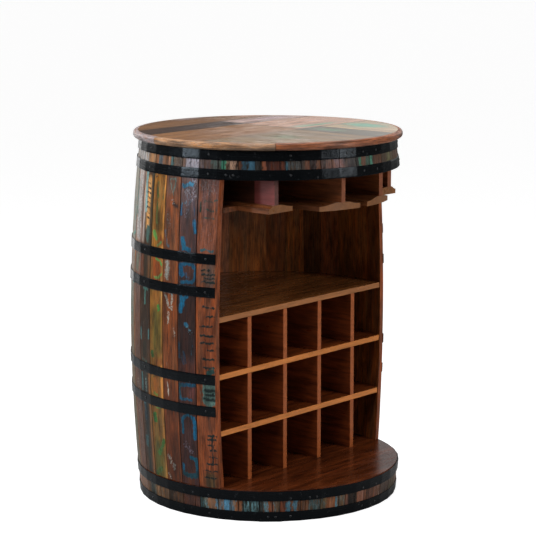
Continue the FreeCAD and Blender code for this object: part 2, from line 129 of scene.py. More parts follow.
def board_outline(across, ease, gap, wall):
    """A board seen from its end: share of its width, shift along the facet and depth of each point,
    and which strips between them are its weathered face. It goes over the face to the right, down
    the eased arris, back along the inside and up again."""
    face = [(i / across, 0.0, 0.0) for i in range(across + 1)]
    face[0] = (0.0, gap + ease, 0.0)
    face[-1] = (1.0, -gap - ease, 0.0)
    back = [(1.0, -gap, ease), (1.0, 0.0, wall), (0.5, 0.0, wall), (0.0, 0.0, wall),
            (0.0, gap, ease)]
    return np.array(face + back), np.arange(len(face + back)) < across


def board_points(facet, z, sides, radii, outline):
    """Points of a flat-faced board on a facet. Its sides stand at the given shifts from the facet's
    middle, for each row and column, and each point lies at its radius."""
    out, right = facet_axes(facet)
    shift = sides[0] + (sides[1] - sides[0]) * outline[:, 0] + outline[:, 1]
    points = radii[..., None] * out + shift[..., None] * right
    points[..., 2] = z[:, None]
    return points


def strip_ends(values):
    """The same values for the start and the end of each strip, from values at the columns."""
    return np.stack([values, np.roll(values, -1, axis=-2)], axis=-2)


def rgba(colours):
    """Colours with a full alpha."""
    return np.concatenate([colours, np.ones(colours.shape[:-1] + (1,))], axis=-1)


def add(tree, kind, sockets=None, **settings):
    """Adds one node. Settings name its properties, and sockets are filled with a value, an output,
    or another node's first output. Numbers count the sockets: Map Range reads from 1 to 2 and gives
    3 to 4, Mix has its colours at 6 and 7, and Vector Math its scale at 3."""
    made = tree.nodes.new("ShaderNode" + kind)
    for name, value in settings.items():
        setattr(made, name, value)
    for key, value in (sockets or {}).items():
        if isinstance(value, bpy.types.Node):
            value = value.outputs[0]
        if isinstance(value, bpy.types.NodeSocket):
            tree.links.new(value, made.inputs[key])
        else:
            made.inputs[key].default_value = value
    return made


def patterns(tree, place, sizes):
    """One noise for each word, stretched so that its marks are as wide and as long as the real
    ones, in millimetres across, along and through the board, and with its own amount of fine
    detail. Each noise is read at another place."""
    made = {}
    for number, (word, (across, along, through, detail)) in enumerate(sizes.items()):
        scale = [1 / (size * MM) for size in (across, along, through)]
        shift = (number * 3.7, number * 1.3, number * 0.9)
        moved = add(tree, "Mapping", {0: place, 1: shift, 3: scale})
        made[word] = add(tree, "TexNoise", {0: moved, 2: 1.0, 3: detail, 4: 0.62})
    return made


def thin_lines(tree, value, middle, narrow, wide, on_line, beside):
    """Lines where a value crosses its middle: on_line as far as narrow from it, and beside from
    wide on. A noise crosses a half along lines that wander as cracks and scratches do."""
    off = add(tree, "Math", {0: value, 1: middle}, operation="SUBTRACT")
    near = add(tree, "Math", {0: off}, operation="ABSOLUTE")
    return add(tree, "MapRange", {0: near, 1: narrow, 2: wide, 3: on_line, 4: beside})


def new_material(name):
    """Material with an empty node tree."""
    made = bpy.data.materials.new(name)
    made.use_nodes = True
    made.node_tree.nodes.clear()
    return made, made.node_tree


def painted_teak(name):
    """Reclaimed teak with the remains of old oil paint, sanded and lacquered clear. The eye sees
    coloured patches with ragged edges that follow the grain, dashes held in saw marks, pale specks,
    streaks of brown dirt, dark pores, and a satin shine that breaks up where the wood is open."""
    made, tree = new_material(name)
    place = add(tree, "UVMap", uv_map="board")
    wood = add(tree, "Attribute", attribute_name="wood")
    paint = add(tree, "Attribute", attribute_name="paint")
    held = add(tree, "SeparateColor", {0: add(tree, "Attribute", attribute_name="held")})
    # The pores are drawn about three times as wide as real ones, or they would not show
    seen = patterns(tree, place, {
        "pores": (2.2, 55, 10, 4), "figure": (11, 150, 30, 4), "wear": (6, 19, 10, 9),
        "specks": (2.4, 4.5, 5, 3), "saw_marks": (42, 4.5, 10, 3), "cracks": (7, 210, 20, 5),
        "dirt": (15, 70, 20, 7)})
    # Wood: pores darken it, the figure shifts it between a redder and a lighter tone
    tone = add(tree, "MapRange", {0: seen["pores"], 1: 0.3, 2: 0.7, 3: 0.4, 4: 1.45})
    toned = add(tree, "VectorMath", {0: wood, 3: tone}, operation="SCALE")
    warm = add(tree, "VectorMath", {0: toned, 1: (1.5, 1.06, 0.62)}, operation="MULTIPLY")
    shift = add(tree, "MapRange", {0: seen["figure"], 1: 0.38, 2: 0.62})
    bare = add(tree, "Mix", {0: shift, 6: toned, 7: warm}, data_type="RGBA").outputs[2]
    # Paint: patches stay where they beat the wear, dashes where the saw marks run, specks in dents.
    # For each: its channel of held, how much the noise counts, and where cover starts and is full
    left = 0.0
    for kind, channel, gain, start, full in (("wear", 0, 1.5, 1.12, 1.42),
                                             ("saw_marks", 1, 1.9, 1.5, 1.63),
                                             ("specks", 2, 1.5, 1.2, 1.33)):
        grip = add(tree, "Math", {0: seen[kind], 1: gain, 2: held.outputs[channel]},
                   operation="MULTIPLY_ADD")
        cover = add(tree, "MapRange", {0: grip, 1: start, 2: full}, interpolation_type="SMOOTHSTEP")
        left = add(tree, "Math", {0: left, 1: cover}, operation="MAXIMUM")
    thin = add(tree, "MapRange", {0: tone, 1: 0.4, 2: 1.45, 3: 0.62, 4: 1.2})
    faded = add(tree, "MapRange", {0: seen["specks"], 1: 0.35, 2: 0.65, 3: 0.7, 4: 1.25})
    mottle = add(tree, "Math", {0: faded, 1: thin}, operation="MULTIPLY")
    old_paint = add(tree, "VectorMath", {0: paint, 3: mottle}, operation="SCALE")
    coloured = add(tree, "Mix", {0: left, 6: bare, 7: old_paint}, data_type="RGBA").outputs[2]
    # Dirt: brown and soft over both. Cracks: dark lines along the grain
    clean = add(tree, "MapRange", {0: seen["dirt"], 1: 0.36, 2: 0.58, 3: 0.42, 4: 1.0})
    crack = thin_lines(tree, seen["cracks"], 0.5, 0.0, 0.016, 0.2, 1.0)
    shade = add(tree, "Math", {0: clean, 1: crack}, operation="MULTIPLY")
    final = add(tree, "VectorMath", {0: coloured, 3: shade}, operation="SCALE")
    # Lacquer: smoother on paint than on open pores, and rubbed thin, so it mirrors less than new
    shine = add(tree, "MapRange", {0: seen["wear"], 1: 0.3, 2: 0.7, 3: 0.26, 4: 0.46})
    relief = add(tree, "Math", {0: seen["pores"], 1: 0.5, 2: left}, operation="MULTIPLY_ADD")
    height = add(tree, "Math", {0: relief, 1: crack}, operation="MULTIPLY")
    bump = add(tree, "Bump", {"Strength": 0.8, "Distance": 0.5 * MM, "Height": height})
    shader = add(tree, "BsdfPrincipled", {"Base Color": final, "Roughness": shine, "Normal": bump,
                                          "Specular IOR Level": 0.28})
    add(tree, "OutputMaterial", {0: shader})
    return made


# Strips of colour along the ring: facet, share of it where the strip starts, wood, paint, and how
# much paint is held in patches, in saw marks and as specks.
BASE_STRIPS = [
    (0, 0.0, "2c2420", "3a302c", 0.2, 0, 0), (0, 0.15, "80503c", "946450", 0.3, 0, 0.2),
    (0, 0.8, "583828", "3c281e", 0.4, 0, 0),
    (1, 0.0, "60503f", "6c6c60", 0.4, 0, 0), (1, 0.4, "6c4432", "5c3428", 0.3, 0, 0),
    (1, 0.58, "2e2622", "2a2420", 0.5, 0, 0),
    (2, 0.0, "62563f", "5c7068", 0.4, 0.1, 0), (2, 0.33, "8a542c", "7c4424", 0.3, 0, 0),
    (2, 0.8, "6a4a36", "427c8c", 0.75, 0, 0), (2, 0.93, "5c4838", "545044", 0.3, 0, 0),
    (3, 0.0, "744a2c", "5c4430", 0.3, 0, 0.2), (3, 0.42, "5c4c40", "507070", 0.55, 0.1, 0.2),
    (4, 0.0, "88441f", "7c3c20", 0.3, 0, 0), (4, 0.27, "6a4a36", "3a7c94", 0.8, 0, 0),
    (4, 0.5, "74482c", "5c6c6c", 0.3, 0, 0), (4, 0.64, "6a4a36", "3a7890", 0.75, 0, 0),
    (4, 0.82, "6c4a34", "505c5c", 0.4, 0, 0),
    (5, 0.0, "34322e", "3c5454", 0.4, 0, 0.2), (5, 0.2, "74503c", "4c94a4", 0.6, 0, 0),
    (5, 0.45, "844a28", "6c3c28", 0.3, 0, 0), (5, 0.68, "544840", "5c6c6c", 0.4, 0, 0.3),
    (6, 0.0, "80502f", "6c4028", 0.3, 0, 0), (6, 0.17, "26312f", "549098", 0.52, 0, 0.3),
    (7, 0.0, "705c54", "647c88", 0.45, 0, 0.1), (7, 0.26, "645450", "3490b8", 0.78, 0, 0),
    (7, 0.56, "70605a", "5c7c8c", 0.5, 0, 0.1), (7, 0.85, "80502f", "6c4830", 0.3, 0, 0),
    (8, 0.0, "2c3a38", "2c5458", 0.5, 0, 0), (8, 0.25, "5c605a", "5c8488", 0.5, 0.2, 0),
    (8, 0.42, "8c5f3c", "9c6c44", 0.3, 0, 0), (8, 0.84, "5c6468", "4c84a0", 0.6, 0, 0),
    (9, 0.0, "4c2a20", "5c3428", 0.4, 0, 0.1), (10, 0.0, "2e2014", "3c2818", 0.4, 0, 0),
    (10, 0.3, "4a301c", "2c2018", 0.4, 0, 0.1), (11, 0.0, "805c36", "6c5434", 0.4, 0, 0),
    (11, 0.6, "6c4c2c", "58462c", 0.4, 0, 0), (12, 0.0, "6c5038", "7c6040", 0.3, 0, 0),
    (12, 0.3, "333730", "2c3c3a", 0.5, 0, 0), (12, 0.85, "7a5c38", "8c6a40", 0.3, 0, 0),
    (13, 0.0, "7a5844", "8c6c58", 0.4, 0, 0.2), (14, 0.0, "8c5f40", "7a6848", 0.3, 0, 0.2),
    (15, 0.0, "38383a", "2c5058", 0.5, 0.1, 0), (16, 0.0, "8a6656", "a08078", 0.5, 0, 0.2),
    (36, 0.0, "70503c", "5c4030", 0.4, 0, 0.2), (37, 0.0, "6c4c38", "7c5a40", 0.4, 0, 0.2),
    (38, 0.0, "4e3c2a", "5c5c40", 0.4, 0, 0.1), (39, 0.0, "4c3a32", "54504c", 0.4, 0, 0.2),
    (40, 0.0, "603c2e", "78584c", 0.3, 0, 0.2), (40, 0.7, "6c4838", "a08c80", 0.4, 0, 0.3),
]
OTHER_WOODS = ["7c4c36", "8c5a36", "6a4030", "96683f", "5a3a2c", "84604a", "744034", "9a7048"]
OTHER_PAINTS = ["2f7c88", "3a6c8c", "647c44", "a09488", "3f6458", "a07870", "1f5560", "a88c54",
                "7c9c9c", "4c7c54"]
# Facets that hold two blocks, and the share of the facet where these meet
BASE_JOINTS = {0: 0.66, 1: 0.4, 3: 0.24, 5: 0.62, 6: 0.35, 9: 0.7, 11: 0.3, 12: 0.62, 14: 0.4,
               17: 0.33, 19: 0.66, 22: 0.28, 25: 0.6, 27: 0.36, 30: 0.7, 33: 0.3, 36: 0.63,
               38: 0.35}
# How far a block's colours have gone towards grey
DULLED = 0.3


def with_the_rest(strips, joints, seed):
    """The listed strips, and one of a mixed offcut for each block of the facets that the list
    leaves out, in the order of the facets."""
    rng = np.random.default_rng(seed)
    listed = {strip[0] for strip in strips}
    rest = [(facet, share, rng.choice(OTHER_WOODS), rng.choice(OTHER_PAINTS),
             rng.uniform(0.2, 0.65), rng.uniform(0, 0.3), rng.uniform(0, 0.4))
            for facet in range(FACETS) if facet not in listed
            for share in ([0.0, joints[facet]] if facet in joints else [0.0])]
    return sorted(strips + rest, key=lambda strip: strip[:2])


def ring_of_blocks(name, strips, joints, z_low, z_high, seed, pale=1.0):
    """All blocks of a ring as one piece. Rows go up a block, and its sides lie on planes through
    the barrel's axis. Its radius goes in a straight line from foot to head. A facet with a joint
    has two blocks, and each one is set back by its own fraction of a millimetre. The colours are
    those of the strip that a place lies in, mixed with some of their own grey because the offcuts
    have dulled, and pale times as light as listed."""
    outline, on_face = board_outline(BLOCK_COLUMNS, BLOCK_EASE, BLOCK_GAP, RING_T)
    depth = outline[:, 2]
    z = np.linspace(z_low, z_high, BLOCK_ROWS)[:, None]
    low_r, high_r = barrel_r(z_low, depth), barrel_r(z_high, depth)
    radii = low_r + (high_r - low_r) * ((z - z_low) / (z_high - z_low))
    rng = np.random.default_rng(seed)
    strips = with_the_rest(strips, joints, seed)
    starts = np.array([strip[0] + strip[1] for strip in strips])
    colours = np.array([[linear(strip[i]) for strip in strips] for i in (2, 3)])
    woods, paints = pale * (colours + DULLED * (colours.mean(axis=-1, keepdims=True) - colours))
    amounts = np.array([strip[4:] for strip in strips], float)
    shown = np.where(on_face, 1.0, 0.0)[:, None]
    points, paths = [], []
    looks = {"wood": [], "paint": [], "held": []}
    for facet in range(FACETS):
        cuts = [0.0, joints[facet], 1.0] if facet in joints else [0.0, 1.0]
        for low, high in zip(cuts, cuts[1:]):
            block = radii - np.where(depth < RING_T, rng.uniform(0, BLOCK_SET_BACK), 0)
            sides = [block * math.tan((share - 0.5) * FACET_TURN) for share in (low, high)]
            points.append(board_points(facet, z[:, 0], sides, block, outline))
            # Each block reads the patterns at a place of its own
            across = sides[0] + (sides[1] - sides[0]) * outline[:, 0] + outline[:, 1] + depth
            along = np.broadcast_to(z + rng.uniform(0, 9), across.shape)
            paths.append(np.stack([across + facet * 0.31 + low, along], axis=-1))
            # The strips' edges waver with the grain, and the paint is worn unevenly along it
            share = low + (high - low) * outline[:, 0]
            phase = z + 0.03 * facet + 0.012 * share
            share = share + 0.045 * ripple(phase, seed, (0.041, 0.019, 0.009))
            place = facet + np.clip(share, low + 1e-6, high - 0.002)
            strip = np.searchsorted(starts, place, side="right") - 1
            worn = 1 + 0.35 * ripple(phase + 0.3 * share, seed + 1, (0.052, 0.023))[..., None]
            # Off the face, wood is drawn at half its colour: painted shade in the joints and on the
            # inside
            looks["wood"].append(strip_ends(woods[strip] * (0.5 + 0.5 * shown)))
            looks["paint"].append(strip_ends(paints[strip]))
            looks["held"].append(strip_ends(amounts[strip] * shown * worn))
    looks = {word: rgba(np.array(values)) for word, values in looks.items()}
    return tube_mesh(name, np.array(points), np.array(paths), looks)


reclaimed_teak = painted_teak("reclaimed_painted_teak")

base_ring = ring_of_blocks("base_ring", BASE_STRIPS, BASE_JOINTS, 0.0, BASE_RING_H, 11, pale=1.6)
base_ring.data.materials.append(reclaimed_teak)
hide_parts("base_ring_blocks")
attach(base_ring, "root")

# Deck: three wide teak boards on the base ring, grain from side to side, stained a dark red-brown
# and lacquered until they shine. They reach out in front of the cells to the ring's full circle.


def lacquered_teak(name, grain, dark, light, roughness, figure_mm, front=None, front_y=-113,
                   coat=None):
    """Plain teak boards with stain and lacquer. The eye sees streaks along the grain in two tones,
    fine dark pores, and soft reflections that waver with the brushed lacquer. grain is the axis
    that the fibres follow, X or Y. front is a lighter colour for sawn faces that look forward, in
    front of the plane front_y. coat is a worn coat of paint: its colour, and how far back in Y it
    reaches. Both places are in millimetres."""
    made, tree = new_material(name)
    place = add(tree, "TexCoord").outputs["Object"]
    turned = add(tree, "Mapping", {0: place, 2: (0, 0, math.pi / 2 if grain == "X" else 0)})
    seen = patterns(tree, turned, {
        "figure": (figure_mm, figure_mm * 9, figure_mm, 5), "pores": (2.0, 48, 2.0, 4),
        "boards": (70, 900, 70, 1), "brush": (26, 60, 26, 2)})
    # Stain: pores and figure run it from dark to light, and it differs a little from board to board
    level = add(tree, "Math", {0: seen["pores"], 1: 0.45, 2: seen["figure"]},
                operation="MULTIPLY_ADD")
    tone = add(tree, "ValToRGB", {0: add(tree, "MapRange", {0: level, 1: 0.5, 2: 0.95})})
    tone.color_ramp.elements[0].color = (*linear(dark), 1)
    tone.color_ramp.elements[1].color = (*linear(light), 1)
    spread = add(tree, "MapRange", {0: seen["boards"], 1: 0.35, 2: 0.65, 3: 0.75, 4: 1.25})
    final = add(tree, "VectorMath", {0: tone, 3: spread}, operation="SCALE")
    depth = add(tree, "SeparateXYZ", {0: place}).outputs[1]
    if coat:
        colour, back_y = coat
        ragged = add(tree, "Math", {0: seen["pores"], 1: 3 * MM, 2: depth},
                     operation="MULTIPLY_ADD")
        reach = add(tree, "MapRange", {0: ragged, 1: (back_y + 2.5) * MM, 2: (back_y + 1) * MM})
        worn = add(tree, "MapRange", {0: level, 1: 0.5, 2: 0.95, 3: 0.7, 4: 1.25})
        painted = add(tree, "VectorMath", {0: linear(colour), 3: worn}, operation="SCALE")
        final = add(tree, "Mix", {0: reach, 6: final, 7: painted}, data_type="RGBA").outputs[2]
    if front:
        ahead = add(tree, "MapRange", {0: depth, 1: (front_y + 0.5) * MM, 2: (front_y - 0.5) * MM})
        normal = add(tree, "TexCoord").outputs["Normal"]
        facing = add(tree, "VectorMath", {0: normal, 1: (0, -1, 0)}, operation="DOT_PRODUCT")
        outwards = add(tree, "MapRange", {0: facing.outputs[1], 1: 0.5, 2: 0.6})
        at_front = add(tree, "Math", {0: ahead, 1: outwards}, operation="MULTIPLY")
        sawn = add(tree, "MapRange", {0: level, 1: 0.5, 2: 0.95, 3: 0.7, 4: 1.2})
        edge = add(tree, "VectorMath", {0: linear(front), 3: sawn}, operation="SCALE")
        final = add(tree, "Mix", {0: at_front, 6: final, 7: edge}, data_type="RGBA").outputs[2]
    # Lacquer: brushed on, so its shine and its surface waver
    shine = add(tree, "MapRange", {0: seen["brush"], 1: 0.3, 2: 0.7, 3: roughness * 0.8,
                                   4: roughness * 1.3})
    relief = add(tree, "Math", {0: seen["pores"], 1: 0.35, 2: seen["brush"]},
                 operation="MULTIPLY_ADD")
    bump = add(tree, "Bump", {"Strength": 0.35, "Distance": 0.5 * MM, "Height": relief})
    shader = add(tree, "BsdfPrincipled", {"Base Color": final, "Roughness": shine, "Normal": bump,
                                          "Specular IOR Level": 0.35})
    add(tree, "OutputMaterial", {0: shader})
    return made


def dress(node, material):
    """Gives a node of the frame its material, in all its slots."""
    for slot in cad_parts[node].material_slots:
        slot.material = material


dress("deck_boards", lacquered_teak("deck_teak", "X", "2c130a", "7c3c1c", 0.24, 16))

# Staves: twenty-five bowed teak boards with mitred sides, cut from old doors and frames that still
# carry their paint. They are planed flat outside, eased on the arrises and brown inside. The first
# and the last one are sawn off along the front plane, which shows their clean edge.

DECK_TOP_Z = 78 * MM
STAVE_TOP_Z = 822 * MM
STAVE_T = 14 * MM
STAVE_EASE = 1.1 * MM
STAVE_GAP = 0.3 * MM
STAVE_COUNT = 25
STAVE_ROWS = 249
STAVE_COLUMNS = 18
FIRST_FACET = 8
FRONT_Y = -BILGE_R * math.cos(FIRST_FACET * FACET_TURN)
# Width of the face that the marks are drawn on, and the narrowest soft edge of a stroke
FACE_MM = 52
SOFT_EDGE_MM = 6
# Clean wood of the sawn edge; the dark colour of the sides and how much an arris is darkened, both
# painted shade for the joints between staves; and the paint that shows round the marks
SAWN_EDGE = "9a5a3a"
PAINTED_SIDE_SHADE = "2c1a12"
PAINTED_ARRIS_SHADE = 0.35
UNDER_MARKS = "6c6c5c"
INSIDE_WOODS = ["9c6438", "865432", "aa7040", "745032", "9c6442", "86562e"]

# Wood of a stave and the marks on it: what each is, colour, strength, half width in millimetres,
# and the lines that the brush or the scraper followed, each as share of the board's width and
# height in millimetres at its start and at its end. A stain colours the wood, paint lies on it,
# specks are what is left of it in dents. Paint that is worn away more has a strength nearer to a
# half. Near the tops of staves 5 to 7 the pale marks also carry painted highlight, the sheen of
# the upper staves.
STAVE_MARKS = {
    1: ("8c5034", [
        ("stain", "6e5050", 0.85, 42, [(0.5, 775, 0.5, 830)]),
        ("stain", "845a50", 0.7, 40, [(0.5, 660, 0.5, 740)]),
        ("stain", "985834", 0.6, 6, [(0.1, 90, 0.12, 640)]),
        ("stain", "70605a", 0.75, 20, [(0.65, 585, 0.65, 610)]),
        ("stain", "5c3a2c", 0.6, 12, [(0.7, 230, 0.7, 254)]),
        ("stain", "54503e", 0.85, 14, [(0.6, 84, 0.6, 102)]),
        ("specks", "b09a98", 0.5, 26, [(0.5, 805, 0.5, 825)]),
        ("specks", "86706c", 0.3, 30, [(0.5, 680, 0.5, 790)]),
        ("specks", "46524a", 0.5, 5, [
            (0.3, 770, 0.95, 771), (0.4, 750, 0.9, 749), (0.3, 730, 0.8, 730)]),
        ("paint", "1e403a", 0.9, 2.2, [(0.14, 768, 0.14, 745)]),
        ("paint", "a48a88", 0.7, 1.0, [(0.45, 692, 0.8, 693)]),
        ("paint", "3a6870", 0.75, 3.5, [(0.25, 654, 0.5, 656), (0.5, 656, 0.8, 652)]),
        ("paint", "22302c", 0.85, 2.8, [
            (0.28, 607, 0.7, 608), (0.3, 597, 1, 598), (0.45, 588, 1, 589), (0.3, 580, 1, 579)]),
        ("paint", "1e2c28", 0.92, 2.7, [
            (0.35, 520, 0.95, 518), (0.55, 497, 1, 499), (0.25, 472, 0.85, 474),
            (0.25, 451, 0.97, 450), (0.28, 433, 0.9, 434), (0.6, 417, 0.9, 416),
            (0.4, 394, 0.97, 395), (0.4, 373, 1, 375)]),
        ("paint", "2f5852", 0.85, 7, [(0.65, 362, 0.9, 366)]),
        ("paint", "68887e", 0.95, 21, [(0.68, 298, 0.72, 326)]),
        ("paint", "1c2e2c", 0.8, 1.5, [
            (0.45, 318, 0.95, 319), (0.5, 308, 0.9, 308), (0.45, 297, 1, 296)]),
        ("paint", "1a2c2a", 0.92, 2.3, [
            (0.55, 208, 1, 207), (0.5, 197, 0.95, 198), (0.5, 184, 0.9, 184), (0.6, 170, 0.95, 171),
            (0.55, 155, 0.95, 153), (0.45, 136, 0.95, 137), (0.3, 119, 1, 119),
            (0.3, 102, 0.85, 101), (0.77, 208, 0.74, 142)])]),
    2: ("543634", [
        ("stain", "6a5660", 0.75, 40, [(0.5, 780, 0.5, 825)]),
        ("stain", "2e1e1e", 0.9, 38, [(0.5, 420, 0.5, 560)]),
        ("stain", "40292a", 0.8, 34, [(0.5, 130, 0.5, 240)]),
        ("stain", "5a3024", 0.7, 12, [(0.3, 368, 0.8, 368)]),
        ("stain", "7e4c4e", 0.85, 8, [(0.75, 302, 0.85, 316)]),
        ("stain", "573426", 0.8, 9, [(0.5, 82, 0.5, 90)]),
        ("specks", "aaa0a8", 0.5, 11, [(0.8, 780, 0.75, 825), (0.35, 790, 0.6, 770)]),
        ("specks", "8c8690", 0.45, 12, [(0.35, 735, 0.4, 765)]),
        ("specks", "7c6c78", 0.45, 9, [(0.3, 180, 0.65, 160)]),
        ("paint", "3f8cb0", 0.75, 6, [(0.15, 802, 0.6, 807)]),
        ("paint", "24648c", 0.9, 3, [(0.08, 758, 0.06, 732)]),
        ("paint", "6c8c9c", 0.8, 1.2, [(0.1, 762, 0.6, 762)]),
        ("paint", "1f7098", 0.9, 5.5, [(0.8, 722, 0.9, 695)]),
        ("paint", "2a5c7c", 0.75, 2, [(0.82, 722, 0.84, 765)]),
        ("paint", "16688a", 0.85, 7, [(0.2, 678, 0.3, 655), (0.3, 655, 0.6, 652)]),
        ("paint", "145f80", 1.0, 4.2, [
            (0.04, 608, 0.15, 617), (0.15, 617, 0.8, 618), (0.8, 618, 0.95, 606),
            (0.95, 606, 0.95, 585), (0.95, 585, 0.8, 576), (0.8, 576, 0.2, 574)]),
        ("paint", "14648c", 0.9, 7.5, [(0.12, 610, 0.2, 592)]),
        ("paint", "1e6084", 0.5, 7, [(0.4, 594, 0.6, 586)]),
        ("paint", "186c90", 0.95, 5.5, [
            (0.5, 540, 0.22, 528), (0.22, 528, 0.17, 503), (0.17, 540, 0.3, 520)]),
        ("paint", "2a7090", 0.7, 6, [(0.44, 474, 0.52, 470)]),
        ("specks", "5c8c9c", 0.4, 7, [(0.65, 462, 0.7, 456)]),
        ("paint", "1f5068", 0.62, 5, [(0.05, 428, 0.1, 392)]),
        ("paint", "2a5a70", 0.7, 2.6, [(0.8, 426, 0.8, 402)]),
        ("paint", "22384c", 0.5, 9, [(0.3, 402, 0.35, 380)]),
        ("paint", "1c5c7c", 0.9, 5, [(0.1, 324, 0.95, 328)]),
        ("paint", "2c5e6c", 0.66, 5, [(0.07, 322, 0.08, 292)]),
        ("paint", "286480", 0.75, 4.5, [(0.15, 290, 0.7, 290)]),
        ("paint", "145f7c", 1.0, 3.6, [
            (0.2, 206, 0.2, 243), (0.2, 243, 0.45, 252), (0.45, 252, 0.8, 247)]),
        ("paint", "14688e", 0.95, 6, [(0.8, 245, 0.88, 235), (0.88, 235, 0.88, 196)]),
        ("paint", "146078", 0.95, 5.5, [(0.6, 146, 0.93, 142), (0.93, 142, 0.95, 110)]),
        ("paint", "1a6888", 0.9, 4, [(0.12, 126, 0.15, 110)]),
        ("paint", "1c4854", 0.85, 7, [(0.2, 103, 0.5, 98), (0.5, 98, 0.9, 104)])]),
    3: ("804a2a", [
        ("stain", "582e1c", 0.7, 26, [(0.5, 60, 0.5, 300)]),
        ("stain", "6a544c", 0.7, 20, [(0.35, 795, 0.4, 815)]),
        ("stain", "8c5430", 0.7, 8, [(0.85, 560, 0.85, 775)]),
        ("stain", "1c1210", 1.0, 4.5, [(0.58, 755, 0.8, 752)]),
        ("stain", "60402e", 0.6, 14, [(0.3, 640, 0.3, 720)]),
        ("specks", "98908a", 0.5, 6, [(0.45, 763, 0.52, 757)]),
        ("paint", "76897f", 0.64, 3.4, [
            (0.15, 815, 0.62, 815), (0.2, 812, 0.5, 778), (0.62, 812, 0.5, 778)]),
        ("specks", "8a8680", 0.4, 10, [(0.2, 730, 0.35, 700)]),
        ("paint", "5a666e", 0.58, 4.5, [(0.1, 690, 0.2, 665), (0.2, 660, 0.35, 655)]),
        ("paint", "707066", 0.5, 8, [(0.3, 618, 0.27, 578)]),
        ("specks", "a09c90", 0.6, 9, [(0.3, 615, 0.27, 580)]),
        ("specks", "bcb4a4", 0.6, 5, [
            (0.15, 540, 0.45, 508), (0.62, 540, 0.6, 503), (0.4, 495, 0.38, 470)]),
        ("paint", "5c98a0", 0.7, 2.2, [(0.4, 543, 0.75, 543)]),
        ("specks", "a8a092", 0.55, 4, [(0.75, 458, 0.82, 438)]),
        ("paint", "8e8c82", 0.8, 1.6, [(0.26, 378, 0.25, 360)]),
        ("paint", "c8c0b2", 0.95, 1.4, [(0.3, 325, 0.34, 306), (0.34, 306, 0.32, 287)]),
        ("specks", "aea698", 0.55, 7, [(0.2, 138, 0.32, 124), (0.5, 118, 0.52, 108)]),
        ("specks", "aea698", 0.5, 5, [(0.1, 93, 0.22, 80)])]),
    4: ("986e32", [
        ("stain", "d49c58", 0.98, 5.5, [(0.93, 78, 0.93, 822)]),
        ("stain", "a87440", 0.85, 3, [(0.12, 655, 0.14, 785)]),
        ("stain", "a07844", 0.7, 12, [(0.62, 740, 0.62, 800)]),
        ("stain", "544420", 0.85, 18, [(0.5, 700, 0.5, 722)]),
        ("stain", "92502a", 0.95, 22, [(0.5, 580, 0.5, 612)]),
        ("stain", "8a4e28", 0.8, 8, [(0.75, 668, 0.9, 660)]),
        ("stain", "946632", 0.8, 13, [(0.5, 522, 0.5, 538)]),
        ("stain", "625a28", 0.9, 24, [(0.6, 405, 0.6, 480)]),
        ("stain", "946030", 0.95, 9, [(0.6, 366, 0.9, 370)]),
        ("stain", "8a5a2c", 0.85, 18, [(0.5, 298, 0.5, 318)]),
        ("stain", "745a2c", 0.8, 26, [(0.6, 200, 0.6, 240)]),
        ("stain", "505828", 0.85, 24, [(0.4, 92, 0.5, 150)]),
        ("paint", "2c2218", 0.9, 1.6, [(0.08, 812, 0.25, 818), (0.25, 818, 0.85, 817)]),
        ("paint", "5e7034", 0.6, 6, [(0.35, 800, 0.35, 705)]),
        ("paint", "5a8040", 0.66, 3.5, [(0.78, 790, 0.8, 762)]),
        ("paint", "6aa04a", 0.85, 7, [(0.22, 680, 0.38, 668)]),
        ("paint", "7ca45a", 0.85, 3, [(0.5, 651, 0.85, 661)]),
        ("paint", "6ea84e", 0.88, 3.5, [(0.45, 619, 0.7, 616), (0.7, 616, 0.87, 606)]),
        ("paint", "7ca452", 0.88, 3.5, [(0.35, 573, 0.7, 575), (0.7, 575, 0.92, 585)]),
        ("paint", "7a903c", 0.75, 2, [(0.2, 541, 0.4, 541)]),
        ("paint", "508a34", 0.88, 6, [(0.68, 504, 0.72, 497)]),
        ("paint", "3e6228", 0.82, 7, [(0.2, 389, 0.22, 380)]),
        ("paint", "707236", 0.75, 2.2, [(0.1, 328, 0.8, 328)]),
        ("paint", "788c3e", 0.8, 3.5, [(0.25, 287, 0.5, 285)]),
        ("paint", "56944a", 0.88, 1.8, [(0.35, 252, 0.8, 253)]),
        ("paint", "3e7c32", 0.88, 8, [(0.22, 233, 0.28, 220)]),
        ("paint", "4c7632", 0.78, 7, [(0.9, 172, 0.45, 138)]),
        ("paint", "4a6830", 0.62, 9, [(0.15, 85, 0.5, 98)])]),
    5: ("4a3422", [
        # From about 650 mm up, the pale marks are partly painted highlight: the sheen of the upper
        # staves
        ("stain", "c4b0a8", 0.95, 7, [(0.1, 655, 0.1, 822)]),
        ("stain", "dcb078", 0.98, 10, [(0.56, 690, 0.56, 802)]),
        ("stain", "3c3e32", 0.85, 5, [(0.9, 600, 0.9, 822)]),
        ("stain", "7e5040", 0.8, 7, [(0.12, 575, 0.12, 640)]),
        ("stain", "38342a", 0.8, 8, [(0.5, 560, 0.5, 630)]),
        ("stain", "845c38", 0.9, 4, [(0.86, 560, 0.86, 625)]),
        ("stain", "36281c", 0.85, 20, [(0.6, 430, 0.6, 535)]),
        ("stain", "20241e", 0.85, 11, [(0.42, 378, 0.45, 402)]),
        ("stain", "222a28", 0.95, 9, [(0.45, 78, 0.5, 330)]),
        ("stain", "94662f", 0.9, 5, [(0.88, 78, 0.88, 345)]),
        ("paint", "9cc4c0", 0.85, 6, [(0.22, 822, 0.3, 728)]),
        ("paint", "4e7266", 0.78, 12, [(0.6, 664, 0.62, 684)]),
        ("paint", "241e1a", 0.95, 2.2, [
            (0.42, 797, 0.68, 792), (0.42, 785, 0.7, 781), (0.42, 774, 0.7, 770),
